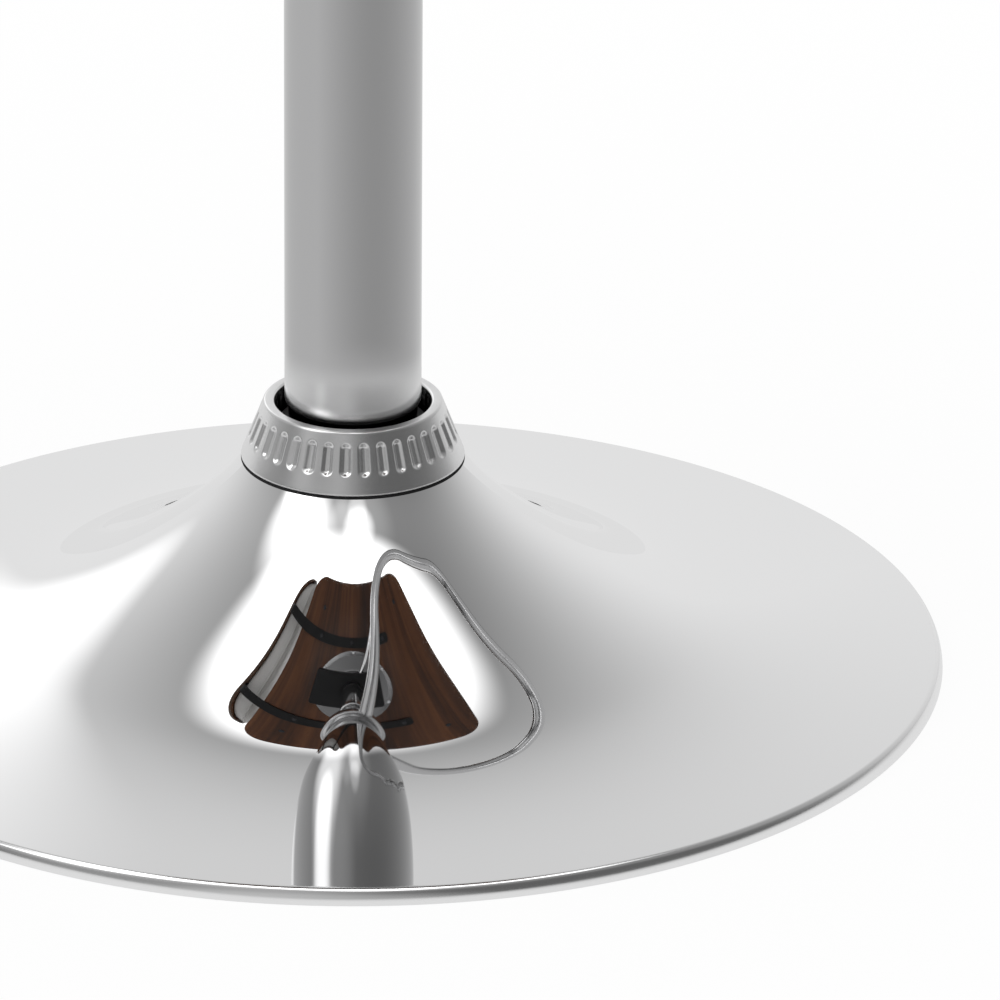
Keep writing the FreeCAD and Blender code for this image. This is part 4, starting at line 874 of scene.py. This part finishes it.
def padForm(s, plan):
    # a flat underside and a crowned top: top - (distance from the crown squared) / (2 crown radius)
    floorZ = s["bottom"] + s["thick"] + s["padGap"]
    top = s["bottom"] + s["thick"] + s["padHeight"] - s["shrink"]
    crownRadius = (s["half"] ** 2 + s["padCrown"] ** 2) / (2 * s["padCrown"])

    def low(p):
        return np.full(len(p), floorZ)

    def crown(p):
        return top - ((p[:, 0] - s["crownX"]) ** 2 + p[:, 1] ** 2) / (2 * crownRadius)

    def place(p, z):
        return np.c_[p, z]

    return cushionRings(plan, low, crown, s["lowerRound"], s["upperRound"], s["padSteps"], place)


cover = {"voxel": 0.005, "frames": 20, "pressure": 4.0, "quality": 5, "mass": 0.3, "stretch": 18.0,
         "shear": 8.0, "bend": 1.5, "seamHold": (1.5, 4.0)}


def inflate(piece, holdMask, swellLimit, c):
    # cloth blown up by air: remeshed, held where holdMask(points) is 1, and its swell limited:
    # moved = limit * tanh(swell / limit)
    bpy.context.view_layer.objects.active = piece
    remesh = piece.modifiers.new("remesh", "REMESH")
    remesh.mode = "VOXEL"
    remesh.voxel_size = c["voxel"]
    applyAll(piece)
    rest = coordinates(piece)
    hold = piece.vertex_groups.new(name="hold")
    weights = np.round(np.clip(holdMask(rest), 0, 1), 2)
    for level in np.unique(weights[weights > 0]):
        hold.add(np.nonzero(weights == level)[0].tolist(), float(level), "REPLACE")
    cloth = piece.modifiers.new("cloth", "CLOTH")
    settings = cloth.settings
    settings.quality = c["quality"]
    settings.mass = c["mass"]
    settings.tension_stiffness = settings.compression_stiffness = c["stretch"]
    settings.shear_stiffness = c["shear"]
    settings.bending_stiffness = c["bend"]
    settings.use_pressure = True
    settings.uniform_pressure_force = c["pressure"]
    settings.effector_weights.gravity = 0
    settings.vertex_group_mass = "hold"
    settings.pin_stiffness = 1.0
    cloth.collision_settings.use_collision = False
    cloth.point_cache.frame_start, cloth.point_cache.frame_end = 1, c["frames"]
    for frameNumber in range(1, c["frames"] + 1):
        bpy.context.scene.frame_set(frameNumber)
    applyAll(piece)
    bpy.context.scene.frame_set(1)
    swell = coordinates(piece) - rest
    length = np.linalg.norm(swell, axis=1)[:, None]
    swell *= swellLimit * np.tanh(length / swellLimit) / np.maximum(length, 1e-6)
    moveTo(piece, rest + swell)
    piece.vertex_groups.clear()


def applyAll(piece):
    # the mesh as its modifiers leave it takes the place of the old one
    depsgraph = bpy.context.evaluated_depsgraph_get()
    mesh = bpy.data.meshes.new_from_object(piece.evaluated_get(depsgraph), depsgraph=depsgraph)
    old = piece.data
    piece.modifiers.clear()
    piece.data = mesh
    mesh.name = old.name


def finishSoft(piece):
    piece.data.shade_smooth()
    smooth = piece.modifiers.new("fine", "SUBSURF")
    smooth.levels = smooth.render_levels = 1
    applyAll(piece)
    piece.data.shade_smooth()


def within(distance, full, fade):
    # 1 up to a distance, falling to 0 over the next stretch
    return 1 - np.clip((distance - full) / fade, 0, 1)


def seamDents(along, gap, folds, groove):
    # short folds that run away from a seam, waves along it times a share that falls with the distance, and a
    # groove along the seam: deep * wave * exp(-(distance / fade)^2) - grooveDepth * exp(-(gap / width)^2)
    shift, period, deep, fade = folds
    grooveDepth, width = groove
    turns = along / period * 2 * math.pi
    wave = np.cos(turns) * 0.6 + np.cos(turns * 0.618 + 1.7) * 0.4
    pucker = deep * wave * np.exp(-(np.abs(gap - shift) / fade) ** 2)
    return pucker - grooveDepth * np.exp(-(gap / width) ** 2)


def snugLine(plan, skin, level, stand):
    # the outline drawn in until it stands this far out of the cover's skin at that height
    slab, spread = 2.5, 4
    skin = skin[np.abs(skin[:, 2] - level) < slab, :2]
    nearest = skin[np.linalg.norm(plan[:, None, :] - skin[None, :, :], axis=2).argmin(1)]
    outward = outwardOf(plan)
    gap = ((plan - nearest) * outward).sum(1)
    gap = sum(np.roll(gap, k) for k in range(-spread, spread + 1)) / (2 * spread + 1)
    return plan - outward * (gap - stand)[:, None]


def makeSeatPad(s):
    plan = padPlan(s)
    piece = addMesh("seatPad", *padForm(s, plan), 0)
    floorZ = s["bottom"] + s["thick"] + s["padGap"]
    seamZ = floorZ + s["seamHeight"]
    middleX = (s["rear"] + s["front"]) / 2

    def outness(p):
        reachX, reachY = s["rimReach"]
        return np.maximum(np.abs(p[:, 0] - middleX) / reachX, np.abs(p[:, 1]) / reachY)

    def hold(p):
        seam = within(np.abs(p[:, 2] - seamZ), *cover["seamHold"])
        seam = np.where(outness(p) > s["holdShare"], seam, 0)
        return np.maximum(within(p[:, 2] - floorZ, *s["floorHold"]), seam)

    inflate(piece, hold, s["swell"], cover)
    spots = coordinates(piece)
    turn = np.arctan2(spots[:, 1], spots[:, 0] - middleX)
    push = seamDents(turn * s["foldRadius"], spots[:, 2] - seamZ, s["folds"], s["groove"])
    push = push * (outness(spots) > s["foldShare"])
    spots[:, :2] += np.stack([np.cos(turn), np.sin(turn)], -1) * push[:, None]
    spots[:, 2] = np.maximum(spots[:, 2], floorZ)
    moveTo(piece, spots)
    finishSoft(piece)
    dress(piece, "leather", "seat", "pad_cover", "seat_pad")
    line = snugLine(plan, coordinates(piece), seamZ, s["pipingSit"])
    path = np.c_[line, np.full(len(line), seamZ)]
    dress(tubeAlong("seatPiping", path, s["piping"], 14, closed=True), "piping", "seat", "pad_cover")


makeBoard(seat)
makeSeatPad(seat)
print("seat made")

# Back

back = {
    "plane": -250.0, "bottom": 700.0, "height": 300.0, "lean": 8.0, "thick": 9.0,
    "flat": 114.0, "wrap": 125.0,   # half the flat middle, and the radius of the bend past it
    "half": 213.0, "corner": 62.0, "round": 2.0, "edgeShare": 0.36, "outlineSteps": 360,
    "padInset": 10.0, "padThick": 58.5, "padHollow": 14.0, "hollowHalf": 206.0, "padGap": 0.3, "swell": 6.0,
    "padRound": 14.0, "rearRound": 5.0, "padSteps": (34, 6, 7, 10, 34),
    # shares of the back's height, and of the pad's thickness there
    "padShares": [(0.0, 0.84), (0.3, 1.0), (0.65, 0.96), (1.0, 0.82)],
    "folds": (2.0, 16.0, 0.35, 11.0), "groove": (1.2, 2.6), "foldReach": 14.0,
    "seamReach": 9.0, "rearHold": (2.0, 5.0), "piping": 2.2, "pipingSit": 1.1,
}


def roundedRectangle(half, low, high, corner, steps):
    # anticlockwise from the upper right corner, evenly spaced
    arcs = []
    for k, (right, up) in enumerate([(1, 1), (-1, 1), (-1, -1), (1, -1)]):
        turn = np.linspace(0, math.pi / 2, 40) + k * math.pi / 2
        middle = (right * (half - corner), (high if up > 0 else low) - up * corner)
        arcs.append(arcPoints(middle, corner, turn))
    return evenly(np.concatenate(arcs), steps)


def wrapAt(b, across, depth):
    # how far forward the bent sheet lies, as an arc about one line past the flat middle
    radius = b["wrap"] - depth
    beyond = np.clip(np.abs(across) - b["flat"], 0, radius * 0.999)
    return radius - np.sqrt(radius ** 2 - beyond ** 2)


def backPlace(b, across, up, depth):
    # from the back's own across, up and depth to the frame, leaning back
    lean = math.radians(b["lean"])
    x = b["plane"] + depth * math.cos(lean) - up * math.sin(lean)
    z = b["bottom"] + depth * math.sin(lean) + up * math.cos(lean)
    return np.stack([x, across, z], -1)


def backLocal(b, p):
    # from the frame to the back's own plan (across, up), and the depth
    lean = math.radians(b["lean"])
    dx, dz = p[:, 0] - b["plane"], p[:, 2] - b["bottom"]
    plan = np.c_[p[:, 1], dz * math.cos(lean) - dx * math.sin(lean)]
    return plan, dx * math.cos(lean) + dz * math.sin(lean)


def makeShell(b):
    # a flat sheet with round corners, both sides bent forwards, leaning back
    loop = roundedRectangle(b["half"], 0, b["height"], b["corner"], b["outlineSteps"])

    def place(plan, height):
        return backPlace(b, plan[:, 0], plan[:, 1], height + wrapAt(b, plan[:, 0], height))

    piece = plateMesh("backShell", plateRings(loop, b["thick"], b["round"], 44), place)
    spots = coordinates(piece)
    _, depth = backLocal(b, spots)
    beyond = np.maximum(np.abs(spots[:, 1]) - b["flat"], 0)
    inner = b["wrap"] - np.hypot(beyond, b["wrap"] - depth)
    markEdges(piece, np.clip(inner / b["thick"], 0, 1), b["edgeShare"])
    dress(piece, "walnut", "seat", "walnut", "back_shell")


def padFaces(b):
    # the pad's rear face on the shell and its hollowed front, as depths over the back's own across and up
    rearDepth = b["thick"] + b["padGap"]
    ups, thicks = np.array(b["padShares"]).T
    fit = np.polyfit(ups, thicks, 2)

    def rear(p):
        return rearDepth + wrapAt(b, p[:, 0], rearDepth)

    def front(p):
        body = rearDepth + b["padThick"] * np.polyval(fit, p[:, 1] / b["height"])
        return body + b["padHollow"] * (p[:, 0] / b["hollowHalf"]) ** 2

    return rear, front


def makeBackPad(b):
    inset = b["padInset"]
    half, top, corner = (b[key] - inset for key in ("half", "height", "corner"))
    loop = roundedRectangle(half, inset, top, corner, b["outlineSteps"])
    outward = outwardOf(loop)
    rear, front = padFaces(b)

    def place(p, depth):
        return backPlace(b, p[:, 0], p[:, 1], depth)

    form = cushionRings(loop, rear, front, b["rearRound"], b["padRound"], b["padSteps"], place)
    piece = addMesh("backPad", *form, 0)
    seamDepth = front(loop) - b["padRound"]

    def seamGap(p):
        # distance from the seam's depth at the nearest outline point, distance in from there, and its number
        plan, depth = backLocal(b, p)
        gaps = np.linalg.norm(plan[:, None, :] - loop[None, ::3, :], axis=2)
        near = gaps.argmin(1)
        return depth - seamDepth[::3][near], gaps.min(1), near * 3

    def hold(p):
        plan, depth = backLocal(b, p)
        gap, inward, _ = seamGap(p)
        seam = np.where(inward < b["seamReach"], within(np.abs(gap), *cover["seamHold"]), 0)
        return np.maximum(within(depth - rear(plan), *b["rearHold"]), seam)

    inflate(piece, hold, b["swell"], cover)
    spots = coordinates(piece)
    gap, inward, near = seamGap(spots)
    step = np.linalg.norm(np.roll(loop, -1, 0) - loop, axis=1).mean()
    push = seamDents(near * step, gap, b["folds"], b["groove"]) * np.clip(1 - inward / b["foldReach"], 0, 1)
    spots += np.c_[np.zeros(len(near)), outward[near]] * push[:, None]
    moveTo(piece, spots)
    finishSoft(piece)
    dress(piece, "leather", "seat", "pad_cover", "back_pad")
    path = place(loop + outward * b["pipingSit"], seamDepth)
    lean = math.radians(b["lean"])
    forwards = (math.cos(lean), 0, math.sin(lean))
    pipe = tubeAlong("backPiping", path, b["piping"], 14, closed=True, upright=forwards)
    dress(pipe, "piping", "seat", "pad_cover")


makeShell(back)
makeBackPad(back)
print("back made")

# Finishes of the CAD pieces that stay as they are

cadFinishes = {
    "floor_ring": "rubber", "ballast_plate": "plate", "base_hub": "plate", "footrest_set_screws": "darkScrew",
    "bearing_lower_race": "bearing", "bearing_balls": "bearing", "bearing_upper_race": "bearing",
    "piston_rod": "bearing", "rod_clip": "zinc", "rubber_buffer": "rubber", "piston": "plastic",
    "cylinder_gland": "plastic", "mechanism_housing": "coat", "mounting_plate": "coat", "plate_bolts": "zinc",
    "plate_nuts": "zinc", "dish_screws": "zinc", "lever_ears": "coat", "lever_pivot_pin": "zinc",
    "lift_lever": "chrome", "lever_grip": "plastic", "valve_pin": "bearing", "seat_pad_board": "ply",
    "pad_screws": "darkScrew", "back_bracket_left": "coat", "back_bracket_right": "coat",
    "bracket_screws": "darkScrew", "back_screws": "darkScrew", "back_pad_board": "ply",
}
for node, finish in cadFinishes.items():
    piece = cadNodes[node]
    if not piece.material_slots:
        piece.data.materials.append(finishes[finish])
    for materialSlot in piece.material_slots:
        materialSlot.material = finishes[finish]
print("CAD pieces finished:", len(cadFinishes))

# Studio: floor, light and camera

floorLook = {
    "radius": 9000.0, "corners": 96, "colour": (0.45, 0.45, 0.45), "cameraWhite": 1.1, "cameraShare": 0.85,
    # seen in polished metal: its tone by the way it lies from the stool, and beside the rim, in metres
    "mirroredShare": 0.9, "mirrored": (0.743, -0.128, 0.177, 0.02, 0.054), "mirroredTop": 0.81,
    "besideRim": (0.225, 0.30), "besideRimTone": 0.84,
}
view = {"lens": 415.03, "sensor": 36.0, "place": (0.0553, -3.9925, 1.7508), "down": 22.885, "turn": -1.9,
        "roll": 0.357, "clipEnd": 100.0}


def vectorMath(tree, operation, first, second, output="Vector"):
    return addNode(tree, "ShaderNodeVectorMath", {"operation": operation}, {0: first, 1: second}, output)


def lightPath(tree, first, *others):
    # 1 for rays of the named kinds
    rays = addNode(tree, "ShaderNodeLightPath", output="Is " + first + " Ray")
    for other in others:
        rays = rays + lightPath(tree, other)
    return rays


def showBy(tree, mask, first, second, outputKind):
    # the first shader where the mask is 0 and the second where it is 1, joined to the output
    both = addNode(tree, "ShaderNodeMixShader", None, {0: mask, 1: first, 2: second})
    tree.links.new(both.socket, tree.nodes.new(outputKind).inputs[0])


def glow(tree, direction, azimuth, elevation, inner, outer, strength):
    # a soft round light: full inside the inner angle, gone past the outer one
    a, e = math.radians(azimuth), math.radians(elevation)
    axis = (math.cos(e) * math.cos(a), math.cos(e) * math.sin(a), math.sin(e))
    near = vectorMath(tree, "DOT_PRODUCT", direction, axis, "Value")
    return near.ramp(math.cos(math.radians(outer)), math.cos(math.radians(inner))) * strength


surroundings = {
    "level": -0.658, "darkest": 0.12, "top": 0.81,
    "straight": (-0.031, 0.551, 0.851), "squares": (0.789, 0.945, 0.0), "products": (0.021, -0.062, -0.539),
    "glows": [  # azimuth, elevation, full within, gone beyond, strength
        (-150, 87, 19.7, 34, 1.9), (-149, 48.5, 7, 27, 1.15), (-150, 34, 6, 17.5, 1.0), (-84, 55, 3, 12, 0.8),
        (-86, 47, 4, 9, 0.35), (-80, 52, 5, 24, 0.12), (-104, 50, 2, 10, 0.2), (110, 24.5, 8.5, 18.5, 0.5),
        (-128, 18, 15, 44, 0.17), (-97, -6, 8, 36, 0.27)],
}


def makeWorld(w):
    # a soft grey room: level + a.d + b.(d*d) + c.(products of d's parts), with round soft lights added
    world = bpy.data.worlds.new("studioLight")
    bpy.context.scene.world = world
    world.use_nodes = True
    tree = world.node_tree
    tree.nodes.clear()
    direction = addNode(tree, "ShaderNodeTexCoord", output="Generated")
    x, y, z = (addNode(tree, "ShaderNodeSeparateXYZ", None, {0: direction}, axis) for axis in "XYZ")
    straight = vectorMath(tree, "DOT_PRODUCT", direction, w["straight"], "Value")
    squared = vectorMath(tree, "MULTIPLY", direction, direction)
    squares = vectorMath(tree, "DOT_PRODUCT", squared, w["squares"], "Value")
    xyShare, xzShare, yzShare = w["products"]
    products = x * y * xyShare + x * z * xzShare + y * z * yzShare
    light = straight + squares + products + w["level"]
    light = light.math("MAXIMUM", w["darkest"]).math("MINIMUM", w["top"])
    for spot in w["glows"]:
        light = light + glow(tree, direction, *spot)
    lit = addNode(tree, "ShaderNodeBackground", None, {"Color": light, "Strength": 1.0})
    plain = addNode(tree, "ShaderNodeBackground", None, {"Color": (1, 1, 1), "Strength": 1.0})
    showBy(tree, lightPath(tree, "Camera", "Transmission"), lit, plain, "ShaderNodeOutputWorld")


def makeFloor(f):
    # a pale disc; the camera sees it nearly white, with the shadow kept, and polished metal sees it glow in a
    # tone of its own that is lighter beside the rim
    turn = np.linspace(0, 2 * math.pi, f["corners"], endpoint=False)
    rim = f["radius"] * np.stack([np.cos(turn), np.sin(turn), 0 * turn], -1)
    floor = addMesh("floor", rim, [list(range(f["corners"]))], 0)
    if floor.data.polygons[0].normal.z < 0:
        floor.data.flip_normals()
    material = bpy.data.materials.new("paleFloor")
    material.use_nodes = True
    tree = material.node_tree
    tree.nodes.clear()
    place = addNode(tree, "ShaderNodeTexCoord", output="Object")
    flat = addNode(tree, "ShaderNodeVectorMath", {"operation": "NORMALIZE"}, {0: place})
    x, y = (addNode(tree, "ShaderNodeSeparateXYZ", None, {0: flat}, axis) for axis in "XY")
    level, sideways, backwards, bothSides, corner = f["mirrored"]
    tone = x * sideways + y * backwards + x * x * bothSides + x * y * corner + level
    tone = tone.math("MINIMUM", f["mirroredTop"])
    reach = addNode(tree, "ShaderNodeVectorMath", {"operation": "LENGTH"}, {0: place}, "Value")
    near, far = f["besideRim"]
    tone = tone + (f["besideRimTone"] - tone) * reach.ramp(far, near)
    diffuse = addNode(tree, "ShaderNodeBsdfDiffuse", None, {"Color": f["colour"]})
    white = addNode(tree, "ShaderNodeEmission", None, {"Color": (1, 1, 1), "Strength": f["cameraWhite"]})
    mirrored = addNode(tree, "ShaderNodeEmission", None, {"Color": tone, "Strength": 1.0})
    inMetal = lightPath(tree, "Glossy", "Transmission") * f["mirroredShare"]
    seen = addNode(tree, "ShaderNodeMixShader", None, {0: inMetal, 1: diffuse, 2: mirrored})
    showBy(tree, lightPath(tree, "Camera") * f["cameraShare"], seen, white, "ShaderNodeOutputMaterial")
    floor.data.materials.append(material)


def makeCamera(v):
    camera = bpy.data.cameras.new("camera")
    camera.lens, camera.sensor_width, camera.clip_end = v["lens"], v["sensor"], v["clipEnd"]
    holder = bpy.data.objects.new("camera", camera)
    bpy.context.scene.collection.objects.link(holder)
    turn = math.radians(v["turn"])   # about the stool's axis
    x, y, z = v["place"]
    holder.location = (x * math.cos(turn) - y * math.sin(turn), x * math.sin(turn) + y * math.cos(turn), z)
    aim = Matrix.Rotation(turn, 3, "Z") @ Matrix.Rotation(math.radians(90 - v["down"]), 3, "X")
    holder.rotation_euler = (aim @ Matrix.Rotation(math.radians(v["roll"]), 3, "Z")).to_euler()
    bpy.context.scene.camera = holder


makeWorld(surroundings)
makeFloor(floorLook)
makeCamera(view)
bpy.context.scene.view_settings.view_transform = "Standard"
print("studio made")
